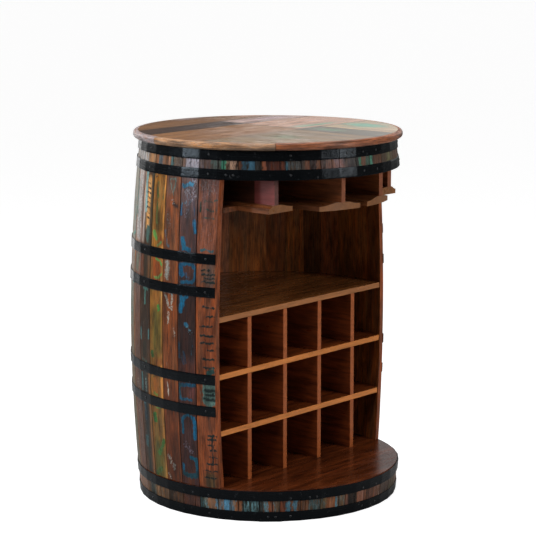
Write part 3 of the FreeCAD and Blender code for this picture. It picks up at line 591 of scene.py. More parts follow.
            (0.44, 762, 0.68, 758), (0.42, 750, 0.7, 747), (0.44, 738, 0.72, 735),
            (0.46, 725, 0.7, 722), (0.46, 713, 0.7, 710)]),
        ("paint", "4e887c", 0.85, 3.5, [(0.35, 540, 0.75, 538), (0.52, 538, 0.5, 502)]),
        ("paint", "5a8884", 0.8, 4.5, [(0.08, 438, 0.1, 412), (0.88, 440, 0.88, 420)]),
        ("paint", "3e6056", 0.65, 5, [(0.2, 363, 0.6, 358)]),
        ("paint", "4c7878", 0.82, 6, [(0.1, 325, 0.14, 286)]),
        ("specks", "849890", 0.55, 6, [(0.5, 315, 0.5, 285)]),
        ("paint", "446c72", 0.75, 6, [(0.3, 254, 0.36, 246)]),
        ("paint", "1e404c", 0.65, 8, [(0.36, 240, 0.36, 215)]),
        ("paint", "3a6062", 0.78, 8, [(0.32, 166, 0.32, 148)])]),
    6: ("744a34", [
        ("stain", "5c3a26", 0.6, 26, [(0.5, 60, 0.5, 300)]),
        # The pale stain and specks from 665 mm up are partly painted highlight: the sheen of the
        # upper staves
        ("stain", "ac928a", 0.9, 26, [(0.4, 665, 0.4, 822)]),
        ("stain", "b0804e", 0.9, 4, [(0.03, 560, 0.03, 625)]),
        ("stain", "5c3c2c", 0.6, 16, [(0.6, 330, 0.6, 540)]),
        ("stain", "8a6844", 0.8, 5, [(0.05, 80, 0.05, 540)]),
        ("specks", "d8cec8", 0.65, 18, [(0.45, 665, 0.45, 822)]),
        ("paint", "6c9084", 0.6, 6, [(0.05, 795, 0.12, 715)]),
        ("paint", "707058", 0.72, 11, [(0.5, 582, 0.55, 612)]),
        ("specks", "8c7c70", 0.4, 14, [(0.5, 120, 0.5, 300)])]),
    7: ("6e5e3e", [
        # The grey stain from 670 mm up is partly painted highlight: the sheen of the upper staves
        ("stain", "7a7e72", 0.85, 28, [(0.5, 670, 0.5, 822)]),
        ("stain", "704c3a", 0.85, 14, [(0.5, 580, 0.5, 615)]),
        ("paint", "5e9082", 0.62, 9, [(0.6, 745, 0.8, 700)]),
        ("paint", "3fa086", 0.85, 3.5, [(0.3, 655, 1, 668)]),
        ("paint", "3f9a86", 0.8, 4, [(0.3, 546, 0.95, 540)]),
        ("paint", "5e8874", 0.6, 14, [(0.35, 440, 0.35, 520)]),
        ("paint", "6e704a", 0.55, 16, [(0.5, 100, 0.5, 240)])]),
    8: ("7c4e3a", [
        ("stain", "5c4034", 0.7, 30, [(0.5, 600, 0.5, 822)]),
        ("paint", "3c8c88", 0.64, 12, [(0.6, 660, 0.7, 800)]),
        ("paint", "2f7c72", 0.6, 9, [(0.2, 320, 0.25, 540)]),
        ("paint", "a08c4c", 0.58, 10, [(0.5, 110, 0.4, 240)]),
        ("specks", "b0a89c", 0.5, 18, [(0.5, 560, 0.5, 700)])]),
}


def other_stave(seed):
    """Marks for a stave that the view from the front left doesn't show, in the same manner: stains,
    strokes along the grain, short dashes across it, and specks. For each kind there are a number of
    marks and the ranges of half width and length in millimetres."""
    rng = np.random.default_rng(seed)
    main = rng.choice(OTHER_PAINTS)
    marks = []
    for kind, count, half, length in (
            ("stain", 4, (8, 30), (60, 320)), ("specks", 3, (6, 20), (20, 160)),
            ("paint", 7, (1.5, 10), (10, 110)), ("dash", 4, (1.2, 2.6), (0, 0))):
        for _ in range(count):
            share, z = rng.uniform(0.05, 0.95), rng.uniform(80, 800)
            lines = [(share, z, share + rng.uniform(-0.15, 0.15), z + rng.uniform(*length))]
            if kind == "dash":
                lines = [(share - 0.3, z - 14 * i, share + 0.25, z - 14 * i)
                         for i in range(rng.integers(1, 7))]
            colour = rng.choice(OTHER_WOODS if kind == "stain" else OTHER_PAINTS)
            if rng.random() < 0.5 and kind != "stain":
                colour = main
            strength, half_width = rng.uniform(0.5, 0.9), rng.uniform(*half)
            marks.append(("paint" if kind == "dash" else kind, colour, strength, half_width, lines))
    return rng.choice(OTHER_WOODS), marks


def stroke_cover(x, z, lines, half_width):
    """How much strokes cover each place: a half at the half width from their lines, more inside
    it, up to 1, and less outside, down to nothing. The distance goes to the nearest point of a
    line, found as the share of its length."""
    away = np.full(x.shape, np.inf)
    for from_share, from_z, to_share, to_z in lines:
        start = np.array([from_share * FACE_MM, from_z]) * MM
        step = np.array([to_share * FACE_MM, to_z]) * MM - start
        part = ((x - start[0]) * step[0] + (z - start[1]) * step[1]) / max(step @ step, 1e-12)
        part = np.clip(part, 0, 1)
        away = np.minimum(away, np.hypot(x - start[0] - part * step[0],
                                         z - start[1] - part * step[1]))
    soft = max(half_width, SOFT_EDGE_MM * MM)
    return np.clip(0.5 + (half_width - away) / soft, 0, 1)


def weathered(wood_hex, marks, share, z, seed):
    """Colour of the wood and of the paint at each point, and how much paint is held in patches and
    as specks. A later mark goes over an earlier one. The board's coordinates waver by one or two
    millimetres, so that no stroke is straight."""
    x = share * FACE_MM * MM + 1.2 * MM * ripple(z, seed, (0.034, 0.013, 0.09))
    y = z + 1.5 * MM * ripple(share * FACE_MM * MM, seed + 40, (0.026, 0.011))
    wood = np.broadcast_to(linear(wood_hex), share.shape + (3,)).copy()
    paint = np.broadcast_to(linear(UNDER_MARKS), share.shape + (3,)).copy()
    held = np.zeros(share.shape + (3,))
    for kind, colour, strength, half, lines in marks:
        cover = stroke_cover(x, y, lines, half * MM)
        if kind == "stain":
            wood += (linear(colour) - wood) * (strength * cover)[..., None]
        else:
            paint += (linear(colour) - paint) * np.clip(cover * 5, 0, 1)[..., None]
            channel = {"paint": 0, "specks": 2}[kind]
            held[..., channel] = np.maximum(held[..., channel], strength * cover)
    return wood, paint, held


def stave_sides(facet, radii):
    """Shifts of a stave's two sides from its middle. A side lies on a plane through the barrel's
    axis, where the shift is the radius times the tangent of half a facet, or on the front plane,
    where it is what the straight line to that plane leaves."""
    out, right = facet_axes(facet)
    half = radii * math.tan(FACET_TURN / 2)
    sawn = (FRONT_Y - out[1] * radii) / right[1]
    sides = [-half, half]
    if facet == FIRST_FACET:
        sides[1] = sawn
    if facet == FIRST_FACET + STAVE_COUNT - 1:
        sides[0] = sawn
    return sides


stave_z = np.linspace(DECK_TOP_Z, STAVE_TOP_Z, STAVE_ROWS)[:, None]
stave_outline, on_stave_face = board_outline(STAVE_COLUMNS, STAVE_EASE, STAVE_GAP, STAVE_T)
share, depth = (np.broadcast_to(stave_outline[:, i], (STAVE_ROWS, len(stave_outline)))
                for i in (0, 2))
height = np.broadcast_to(stave_z, share.shape)
true_radii = barrel_r(stave_z, depth)
# Strips of the outline after the face: right arris, right side, two inside, left side, left arris
strip = np.arange(len(stave_outline)) - STAVE_COLUMNS
arris = (strip == 0) | (strip == 5)
side = (strip == 1) | (strip == 4)
inside = (strip == 2) | (strip == 3)

for number in range(1, STAVE_COUNT + 1):
    facet = FIRST_FACET + number - 1
    base_wood, marks = STAVE_MARKS.get(number) or other_stave(number)
    # The face is hand-planed: it lies up to four tenths of a millimetre under its true line
    uneven = ripple(stave_z + 0.02 * share, number, (0.31, 0.17, 0.09))
    radii = true_radii - np.where(depth < STAVE_T / 2, (0.2 + 0.2 * uneven) * MM, 0)
    points = board_points(facet, stave_z[:, 0], stave_sides(facet, radii), radii, stave_outline)
    wood, paint, held = (strip_ends(values)
                         for values in weathered(base_wood, marks, share, height, number))
    # Arrises and sides get painted shade for the joints between staves, the sawn edge clean wood,
    # and the inside its own brown
    wood[:, arris] *= PAINTED_ARRIS_SHADE
    wood[:, side] = linear(PAINTED_SIDE_SHADE)
    wood[:, inside] = linear(INSIDE_WOODS[number % len(INSIDE_WOODS)])
    if number == 1:
        wood[:, (strip == 0) | (strip == 1)] = linear(SAWN_EDGE)
    if number == STAVE_COUNT:
        wood[:, (strip == 4) | (strip == 5)] = linear(SAWN_EDGE)
    held = held * on_stave_face[None, :, None, None]
    looks = {"wood": rgba(wood)[None], "paint": rgba(paint)[None], "held": rgba(held)[None]}
    # Each stave reads the patterns at a place of its own
    across = share * FACE_MM * MM + depth + number * 0.37
    paths = np.stack([across, height + number * 1.7], axis=-1)
    stave = tube_mesh("stave_board_%02d" % number, points[None], paths[None], looks)
    stave.data.materials.append(reclaimed_teak)
    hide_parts("stave_%02d" % number)
    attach(stave, "root")

# Shelves and dividers: plain teak boards, stained dark and lacquered. Each shelf runs right across
# the barrel and the dividers stand between the shelves. Their sawn front edges stay lighter.

shelf_teak = lacquered_teak("shelf_teak", "X", "401a0b", "964a20", 0.30, 14, front="e89048")
# Shelf 3, the floor of the bay, gets a lighter copy of the shelf teak: painted light and sheen
painted_light_bay_floor_teak = lacquered_teak("painted_light_bay_floor_teak", "X", "4c2812", "a26636", 0.24, 14, front="bc7c4c")
divider_teak = lacquered_teak("divider_teak", "Y", "40190d", "984a22", 0.34, 12, front="b86434")
for row in (1, 2, 3):
    dress("shelf_%d" % row, painted_light_bay_floor_teak if row == 3 else shelf_teak)
    dress("dividers_row_%d" % row, divider_teak)

# Top ring: the same painted offcuts as at the foot, glued up in a ring that stands on the staves
# and carries the round top. The two upper hoops leave a band of it showing between them.

TOP_UNDER_Z = 892 * MM
TOP_STRIPS = [
    (0, 0.0, "3a3638", "46424a", 0.4, 0, 0.1), (0, 0.22, "5c5044", "4c9c7c", 0.85, 0, 0),
    (0, 0.4, "805643", "8c6450", 0.3, 0, 0.2), (0, 0.7, "56503f", "4c7460", 0.6, 0, 0),
    (1, 0.0, "8c5c5c", "ac8080", 0.5, 0, 0.3), (1, 0.3, "604644", "54484c", 0.4, 0, 0.1),
    (1, 0.65, "423c42", "4c4a54", 0.4, 0, 0.2), (2, 0.0, "44261f", "54342c", 0.4, 0, 0),
    (2, 0.28, "704230", "5c3428", 0.3, 0, 0.1), (2, 0.66, "825c5c", "9c7478", 0.5, 0, 0.2),
    (3, 0.0, "54443c", "5c5048", 0.3, 0, 0), (3, 0.2, "844c2f", "744028", 0.3, 0, 0),
    (3, 0.42, "402822", "2c1e1c", 0.5, 0, 0), (3, 0.78, "7c4c33", "8c5838", 0.3, 0, 0),
    (4, 0.0, "62301f", "5c2a1c", 0.3, 0, 0), (4, 0.25, "3c4c50", "2c6c80", 0.85, 0, 0),
    (4, 0.38, "403a38", "4c5050", 0.45, 0, 0.2), (5, 0.0, "20201f", "2a3034", 0.4, 0, 0),
    (5, 0.14, "94502e", "8c4828", 0.3, 0, 0), (5, 0.32, "54271b", "4c2018", 0.4, 0, 0),
    (6, 0.0, "6c4028", "5c3420", 0.4, 0, 0), (6, 0.14, "2c2c28", "245c74", 0.6, 0, 0),
    (6, 0.5, "2c3c40", "1f6480", 0.85, 0, 0), (6, 0.8, "302f2e", "383c3c", 0.4, 0, 0),
    (7, 0.0, "3c4440", "4c6c60", 0.5, 0, 0), (7, 0.17, "2c6c54", "289c74", 0.95, 0, 0),
    # The pale strip from share 0.58 of facet 7 is partly pale paint and partly painted highlight
    (7, 0.38, "4c3626", "94724c", 0.5, 0, 0), (7, 0.58, "3e281a", "d09468", 0.6, 0, 0),
    (8, 0.0, "5c4c54", "867884", 0.4, 0, 0.3), (8, 0.25, "644644", "6c5450", 0.4, 0, 0.2),
    (8, 0.62, "50463e", "587064", 0.55, 0.1, 0.1), (9, 0.0, "745040", "684438", 0.3, 0, 0),
    # The lavender strip from share 0.17 of facet 9 is partly pale paint and partly painted
    # highlight
    (9, 0.17, "86788a", "c0b4c4", 0.6, 0, 0.4), (10, 0.0, "ac7248", "9c6440", 0.3, 0, 0),
    (10, 0.2, "4c6c6c", "4c8080", 0.8, 0, 0), (10, 0.4, "624a3c", "8c7c68", 0.3, 0, 0.4),
    (11, 0.0, "946440", "84583c", 0.3, 0, 0), (11, 0.25, "545a60", "687480", 0.6, 0, 0.2),
    (11, 0.57, "946440", "7c5438", 0.3, 0, 0), (12, 0.0, "bcaea8", "ccc0ba", 0.6, 0, 0.2),
    (12, 0.22, "ac8054", "9c7048", 0.3, 0, 0.1), (13, 0.0, "b0a29c", "ccc0bc", 0.6, 0, 0.4),
    (14, 0.0, "988c84", "8c7c74", 0.5, 0, 0.3), (37, 0.0, "704c3a", "5c3c2c", 0.4, 0, 0.2),
    (38, 0.0, "5e5238", "7a6a40", 0.4, 0, 0.1), (38, 0.5, "704c38", "5c4434", 0.4, 0, 0),
    (39, 0.0, "5c4c3a", "6c4c3c", 0.3, 0, 0), (39, 0.6, "686448", "8c8c54", 0.5, 0, 0.1),
    (40, 0.0, "4c8c70", "4ca080", 0.9, 0, 0), (40, 0.23, "5c4440", "6c5048", 0.3, 0, 0.1),
    (40, 0.46, "704e3e", "8c6450", 0.3, 0, 0.2),
]
TOP_JOINTS = {0: 0.3, 2: 0.6, 4: 0.27, 7: 0.28, 10: 0.35, 11: 0.42, 13: 0.65, 15: 0.3, 18: 0.7,
              20: 0.38, 21: 0.6, 24: 0.33, 26: 0.68, 29: 0.4, 31: 0.25, 34: 0.64, 37: 0.36, 39: 0.7}

top_ring = ring_of_blocks("top_ring", TOP_STRIPS, TOP_JOINTS, STAVE_TOP_Z, TOP_UNDER_Z, 12)
top_ring.data.materials.append(reclaimed_teak)
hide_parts("top_ring_blocks")
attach(top_ring, "root")

# Hoops: flat mild-steel strap, hammered over each facet, painted satin black and nailed on. The two
# at the top and the two at the foot go all round and lap over one facet. The four on the staves end
# at the front plane.

HOOP_W = 24.5 * MM
HOOP_T = 2 * MM
HOOP_GAP = 0.2 * MM
HOOP_ROUND = 0.7 * MM
HOOP_BEND = 2.5 * MM
STAVE_LENGTH = STAVE_TOP_Z - DECK_TOP_Z
# In facets: how far the open hoops' ends stand back, how long a lap takes to climb over the hoop's
# start, and how far from its middle a rubbed place still shows bare steel
HOOP_END = 0.012
LAP_RISE = 0.12
RUBBED_REACH = 0.05
# Height of the middle, and the facet of the lap for a hoop that goes all round
HOOPS = {
    1: (TOP_UNDER_Z - HOOP_GAP - HOOP_W / 2, 1), 2: (STAVE_TOP_Z + HOOP_W / 2, 7),
    3: (DECK_TOP_Z + STAVE_LENGTH * 0.748, None), 4: (DECK_TOP_Z + STAVE_LENGTH * 0.6415, None),
    5: (DECK_TOP_Z + STAVE_LENGTH * 0.3587, None), 6: (DECK_TOP_Z + STAVE_LENGTH * 0.2547, None),
    7: (DECK_TOP_Z - 2 * MM - HOOP_W / 2, 3), 8: (HOOP_GAP + HOOP_W / 2, 5),
}
# Places where the paint is rubbed off across the strap, in facets from the middle to the left
RUBBED = {1: [1.0, 1.12, 1.2], 2: [7.87, 6.7, 26.4], 4: [29.6], 6: [22.7], 7: [3.98],
          8: [4.1, 4.35, 30.4]}


def black_strap(name):
    """Mild-steel strap under satin black paint. The eye sees a near-black that picks up broad cool
    highlights, broken by hammer dents, brush streaks along the strap and a few bare scratches."""
    made, tree = new_material(name)
    place = add(tree, "UVMap", uv_map="board")
    seen = patterns(tree, place, {"dents": (14, 22, 10, 2), "streaks": (3, 60, 10, 4),
                                  "dust": (3, 3, 3, 6), "scratches": (30, 3.5, 10, 3)})
    rubbed = add(tree, "SeparateColor", {0: add(tree, "Attribute", attribute_name="rubbed")})
    # Bare steel: stray scratches in some of the dents, and patches where the paint is rubbed
    scratch = thin_lines(tree, seen["scratches"], 0.5, 0.004, 0.012, 1.0, 0.0)
    few = add(tree, "MapRange", {0: seen["dents"], 1: 0.62, 2: 0.7, 3: 0.0, 4: 0.5})
    stray = add(tree, "Math", {0: scratch, 1: few}, operation="MULTIPLY")
    grip = add(tree, "Math", {0: seen["scratches"], 1: 1.6, 2: rubbed}, operation="MULTIPLY_ADD")
    bare = add(tree, "MapRange", {0: grip, 1: 1.2, 2: 1.7, 3: 0.0, 4: 0.5})
    shown = add(tree, "Math", {0: stray, 1: bare}, operation="MAXIMUM")
    dusty = add(tree, "MapRange", {0: seen["dust"], 1: 0.4, 2: 0.75})
    paint = add(tree, "Mix", {0: dusty, 6: (*linear("060708"), 1), 7: (*linear("101215"), 1)},
                data_type="RGBA").outputs[2]
    final = add(tree, "Mix", {0: shown, 6: paint, 7: (*linear("8a8c90"), 1)},
                data_type="RGBA").outputs[2]
    shine = add(tree, "MapRange", {0: seen["streaks"], 1: 0.3, 2: 0.7, 3: 0.18, 4: 0.30})
    relief = add(tree, "Math", {0: seen["streaks"], 1: 0.12, 2: seen["dents"]},
                 operation="MULTIPLY_ADD")
    scaly = add(tree, "Math", {0: seen["dust"], 1: 0.3, 2: relief}, operation="MULTIPLY_ADD")
    bump = add(tree, "Bump", {"Strength": 0.75, "Distance": 0.8 * MM, "Height": scaly})
    shader = add(tree, "BsdfPrincipled", {"Base Color": final, "Roughness": shine, "Normal": bump,
                                          "Specular IOR Level": 0.18,
                                          "Specular Tint": (0.8, 0.9, 1.0, 1.0)})
    add(tree, "OutputMaterial", {0: shader})
    return made


def strap_outline():
    """The strap's section: share of its width from its lower edge, and depth under its outer face.
    It goes down the outer face, round the lower edge, up the inner face and round the upper edge,
    and the rounded corners are quarter circles."""
    steps = np.radians([0, 30, 60, 90])
    width_share = HOOP_ROUND / HOOP_W
    corner = [(width_share * (1 - math.sin(a)), HOOP_ROUND * (1 - math.cos(a))) for a in steps]
    flat = [(share, 0.0) for share in (0.8, 0.6, 0.4, 0.2)]
    lower = [*corner, *[(share, HOOP_T - depth) for share, depth in corner[::-1]]]
    upper = [(1 - share, depth) for share, depth in lower[::-1]]
    return np.array(flat + lower + [(0.5, HOOP_T)] + upper)


def strap_path(turns, radii):
    """Points of a strap bent over the facets. turns count facets to the left, with fractions. On a
    facet the strap is straight, so its place is the radius outwards and the radius times the
    tangent along. Averaging five places over the bend's length rounds the bend."""
    place = 0
    for step in (-1, -0.5, 0, 0.5, 1):
        turn = turns + step * HOOP_BEND / (BILGE_R * FACET_TURN)
        facet = np.floor(turn)
        angle = -(facet + 0.5) * FACET_TURN
        off_middle = (turn - facet - 0.5) * FACET_TURN
        shift = -radii * np.tan(off_middle)[:, None]
        x = radii * np.sin(angle)[:, None] + shift * np.cos(angle)[:, None]
        y = -radii * np.cos(angle)[:, None] + shift * np.sin(angle)[:, None]
        place = place + np.stack([x, y], axis=-1) / 5
    return place


def hoop_points(middle, lap, number):
    """Rows along the strap, columns round its section. A closed hoop starts at its lap's left end,
    goes round once and then over its own start, one thickness further out. Rows stand closer near
    the bends and at the rubbed places."""
    if lap is None:
        first, last = FIRST_FACET + HOOP_END, FIRST_FACET + STAVE_COUNT - HOOP_END
    else:
        first, last = lap, lap + FACETS + 1
    shares = np.array([0.0, 0.03, 0.08, 0.2, 0.4, 0.6, 0.8, 0.92, 0.97])
    turns = np.concatenate([facet + shares for facet in range(int(first), int(np.ceil(last)))])
    marks = np.array(RUBBED.get(number, []))[:, None]
    beside = marks + np.array([-0.07, -0.03, 0, 0.03, 0.07])
    turns = np.sort(np.concatenate([turns, beside.ravel()]))
    turns = np.concatenate([[first], turns[(turns > first) & (turns < last)], [last]])
    lean, depth = strap_outline().T
    z_low, z_high = middle - HOOP_W / 2, middle + HOOP_W / 2
    inner = barrel_r(z_low) + (barrel_r(z_high) - barrel_r(z_low)) * lean + HOOP_GAP
    radii = np.broadcast_to(inner + HOOP_T - depth, (len(turns), len(lean))).copy()
    along = turns * BILGE_R * FACET_TURN
    if lap is not None:
        climb = np.clip((turns - (lap + FACETS) + LAP_RISE) / LAP_RISE, 0, 1)
        radii += HOOP_T * climb[:, None]
    # Hammered: the strap lies up to a quarter of a millimetre lower, and sways a little in height
    radii -= (0.12 + 0.12 * ripple(along, number, (0.21, 0.083, 0.047)))[:, None] * MM
    radii = np.maximum(radii, inner)
    sway = 0.15 * MM * ripple(along, number + 20, (0.4, 0.19))
    z = z_low + HOOP_W * lean[None, :] + sway[:, None]
    points = np.concatenate([strap_path(turns, radii), z[..., None]], axis=-1)
    paths = np.stack([np.broadcast_to(HOOP_W * lean, z.shape),
                      np.broadcast_to(along[:, None], z.shape)], axis=-1)
    away = np.abs(turns - marks).min(axis=0, initial=1.0)
    rubbed = np.clip(1.1 - away / RUBBED_REACH, 0, 1)[:, None, None]
    return points, paths + number * 0.7, np.broadcast_to(rubbed, z.shape + (3,))


strap_black = black_strap("black_painted_strap")
for number, (middle, lap) in HOOPS.items():
    # Columns are turned round, because rows that go to the left would give faces that point inwards
    points, paths, rubbed = (values[:, ::-1] for values in hoop_points(middle, lap, number))
    looks = {"rubbed": rgba(strip_ends(rubbed))[None]}
    hoop = tube_mesh("hoop_strap_%d" % number, points[None], paths[None], looks, smooth_deg=25)
    hoop.data.materials.append(strap_black)
    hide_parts("hoop_%d" % number)
    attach(hoop, "root")

# Nails: round steel nails with low domed heads, driven through the hoops into the wood behind them
# and painted over with them.


def black_nail(name):
    """Steel nail heads under the hoops' black paint, worn on the crown by the hammer. The eye sees
    small dark domes with one point of light."""
    made, tree = new_material(name)
    place = add(tree, "TexCoord").outputs["Object"]
    seen = patterns(tree, place, {"wear": (2, 2, 2, 4)})
    bare = add(tree, "MapRange", {0: seen["wear"], 1: 0.55, 2: 0.75})
    final = add(tree, "Mix", {0: bare, 6: (*linear("141518"), 1), 7: (*linear("34363a"), 1)},
                data_type="RGBA").outputs[2]
    shine = add(tree, "MapRange", {0: seen["wear"], 1: 0.3, 2: 0.7, 3: 0.25, 4: 0.45})
    shader = add(tree, "BsdfPrincipled", {"Base Color": final, "Roughness": shine})
    add(tree, "OutputMaterial", {0: shader})
    return made


dress("hoop_nails", black_nail("black_painted_nail"))

# Glass rack: four moulded teak rails with coved upper faces, each glued under an upright web that
# hangs from the top. The webs are offcuts too, and the left one keeps a mauve coat near its front.
# The coat ends where the shadow of the ring and staves begins, and behind it the left web is drawn
# in dark wood: painted shade.

rail_teak = lacquered_teak("rail_teak", "Y", "3c1e0e", "8c5230", 0.32, 10, front="90603c",
                           front_y=-118)
web_teak = lacquered_teak("web_teak", "Y", "502a18", "a05c34", 0.34, 12, front="94583c")
# Left web: real mauve paint in front, cut off at the shadow's edge; its dark wood tones are painted
# shade
mauve_coat_and_painted_shade_web = lacquered_teak("mauve_coat_and_painted_shade_teak", "Y", "200e0a", "4c2818", 0.34, 12, front="6c4640",
                           coat=("803e3a", -152))
for number in (1, 2, 3, 4):
    dress("glass_rail_%d" % number, rail_teak)
    dress("rail_web_%d" % number, mauve_coat_and_painted_shade_web if number == 1 else web_teak)

# Round top: eight reclaimed teak boards laid in mixed directions, filled at the joints with dark
# wax, sanded level and finished with thick gloss lacquer. Old paint shows in clouds under it.

TOP_R = float(barrel_r(TOP_UNDER_Z)) + 16.7 * MM


def gloss_top_teak(name, grain, dark, light, clouds, joints):
    """Reclaimed teak under thick gloss lacquer. The eye sees streaks along the grain, cloudy
    remains of paint drawn out along it, black wax in the joints and long soft mirror images. clouds
    are colour, centre and reach in X and Y as shares of the top's radius, and how full the colour
    is; joints are the board's edge lines, as an axis and a share of the radius."""
    made, tree = new_material(name)
    place = add(tree, "TexCoord").outputs["Object"]
    turned = add(tree, "Mapping", {0: place, 2: (0, 0, math.pi / 2 if grain == "X" else 0)})
    seen = patterns(tree, turned, {
        "figure": (13, 190, 40, 5), "pores": (2.6, 75, 20, 4), "streaks": (7, 110, 40, 7),
        "cracks": (12, 330, 40, 4), "brush": (34, 70, 40, 2)})
    level = add(tree, "Math", {0: seen["pores"], 1: 0.5, 2: seen["figure"]},
                operation="MULTIPLY_ADD")
    final = add(tree, "ValToRGB", {0: add(tree, "MapRange", {0: level, 1: 0.52, 2: 0.98})})
    final.color_ramp.elements[0].color = (*linear(dark), 1)
    final.color_ramp.elements[1].color = (*linear(light), 1)
    # Clouds: full in the middle, and out at their reach they are left only where the streaks hold
    for colour, centre, reach, full in clouds:
        shift = (*[-c / r for c, r in zip(centre, reach)], 0)
        scale = (*[1 / (TOP_R * r) for r in reach], 0)
        local = add(tree, "Mapping", {0: place, 1: shift, 3: scale})
        away = add(tree, "VectorMath", {0: local}, operation="LENGTH").outputs[1]
        there = add(tree, "MapRange", {0: away, 1: 0.1, 2: 1.3, 3: full, 4: -1.0})
        held = add(tree, "Math", {0: seen["streaks"], 1: 2.4, 2: there}, operation="MULTIPLY_ADD")
        mask = add(tree, "MapRange", {0: held, 1: 1.25, 2: 1.9}, interpolation_type="SMOOTHSTEP")
        worn = add(tree, "MapRange", {0: level, 1: 0.5, 2: 1.0, 3: 0.65, 4: 1.2})
        painted = add(tree, "VectorMath", {0: linear(colour), 3: worn}, operation="SCALE")
        final = add(tree, "Mix", {0: mask, 6: final, 7: painted}, data_type="RGBA").outputs[2]
    # Cracks along the grain and wax in the joints: dark lines, the wax up to three millimetres wide
    # on each side of a joint
    crack = thin_lines(tree, seen["cracks"], 0.5, 0.0, 0.018, 0.3, 1.0)
    final = add(tree, "VectorMath", {0: final, 3: crack}, operation="SCALE")
    axes = add(tree, "SeparateXYZ", {0: place})
    for axis, share in joints:
        wax = thin_lines(tree, axes.outputs["XY".index(axis)], share * TOP_R, 1.1 * MM, 3.2 * MM,
                         0.15, 1.0)
        final = add(tree, "VectorMath", {0: final, 3: wax}, operation="SCALE")
    # Lacquer: thick and glossy, with a faint waver from the brush
    shine = add(tree, "MapRange", {0: seen["brush"], 1: 0.3, 2: 0.7, 3: 0.07, 4: 0.14})
    relief = add(tree, "Math", {0: seen["pores"], 1: 0.1, 2: seen["brush"]},
                 operation="MULTIPLY_ADD")
    bump = add(tree, "Bump", {"Strength": 0.25, "Distance": 0.5 * MM, "Height": relief})
    shader = add(tree, "BsdfPrincipled", {"Base Color": final, "Roughness": shine, "Normal": bump})
    add(tree, "OutputMaterial", {0: shader})
    return made


# For each board: grain, dark and light tone of the wood, clouds of paint, and joints. The pale
# tones of the three boards on the right are partly their own colour and partly painted light, the
# glare there
TOP_BOARDS = {
    "rear": ("X", "6c4424", "b07a48", [("d09478", (0.75, 0.72), (0.5, 0.22), 0.8),
                                       ("b8a0a0", (0.1, 0.9), (0.5, 0.12), 0.5)], [("Y", 0.6)]),
    "rear_left": ("X", "2c190f", "5e3c28", [("6c5044", (-0.3, 0.5), (0.5, 0.06), 0.4)],
                  [("Y", 0.6), ("Y", 0.35), ("X", 0.15)]),
    "rear_right": ("X", "a07c70", "dcb8ac", [("c4a4a8", (0.6, 0.48), (0.5, 0.12), 0.7)],
                   [("Y", 0.6), ("Y", 0.35), ("X", 0.15)]),
    "mid_left": ("X", "7c4a22", "cc8e54", [("7a6a3c", (-0.05, -0.12), (0.35, 0.1), 0.3),
                                           ("a06844", (-0.5, 0.2), (0.5, 0.06), 0.4)],
                 [("Y", 0.35), ("Y", -0.2), ("X", 0.15)]),
    "mid_right": ("X", "b47c5e", "ecbea2", [("8cb088", (0.42, -0.1), (0.55, 0.14), 0.8),
                                            ("e0a088", (0.7, 0.15), (0.4, 0.1), 0.5)],
                  [("Y", 0.35), ("Y", -0.2), ("X", 0.15)]),
    "front_left": ("Y", "543c1e", "bc9058", [("6a8450", (-0.36, -0.48), (0.28, 0.36), 0.6),
                                             ("8a7c6c", (-0.05, -0.7), (0.1, 0.35), 0.5)],
                   [("Y", -0.2), ("X", 0.09)]),
    "front_middle": ("Y", "30281c", "867658", [("70946c", (0.22, -0.4), (0.12, 0.36), 0.8)],
                     [("Y", -0.2), ("X", 0.09), ("X", 0.36)]),
    "front_right": ("Y", "a47a50", "e4c89c", [("74c09c", (0.66, -0.4), (0.36, 0.4), 0.8),
                                              ("d8a080", (0.78, -0.4), (0.08, 0.3), 0.5)],
                    [("Y", -0.2), ("X", 0.36)]),
}
for word, board in TOP_BOARDS.items():
    dress("top_board_" + word, gloss_top_teak("gloss_teak_" + word, *board))

# Edging: four bent teak strips glued round the top, with a bull-nosed outer edge, under the same
# gloss lacquer. One of them is a pale painted offcut.

TOP_Z = 910 * MM
EDGING_W = 12 * MM
EDGING_ROUND = 7.8 * MM
EDGING_ROWS = 90
# Where each strip starts, and the joint's width, as shares of a full turn from the front
EDGING_JOINTS = [-0.288, -0.1275, 0.128, 0.43]
EDGING_GAP_TURN = 0.0006
# Wood, paint, and how much paint is held in patches, in saw marks and as specks
EDGING_LOOKS = [("b09078", "c4ac96", 0.3, 0, 0.3), ("a06c54", "8c5c48", 0.3, 0, 0.1),
                ("a87656", "b48c6e", 0.2, 0, 0.2), ("ac8e8c", "ccb8b6", 0.62, 0, 0.3)]


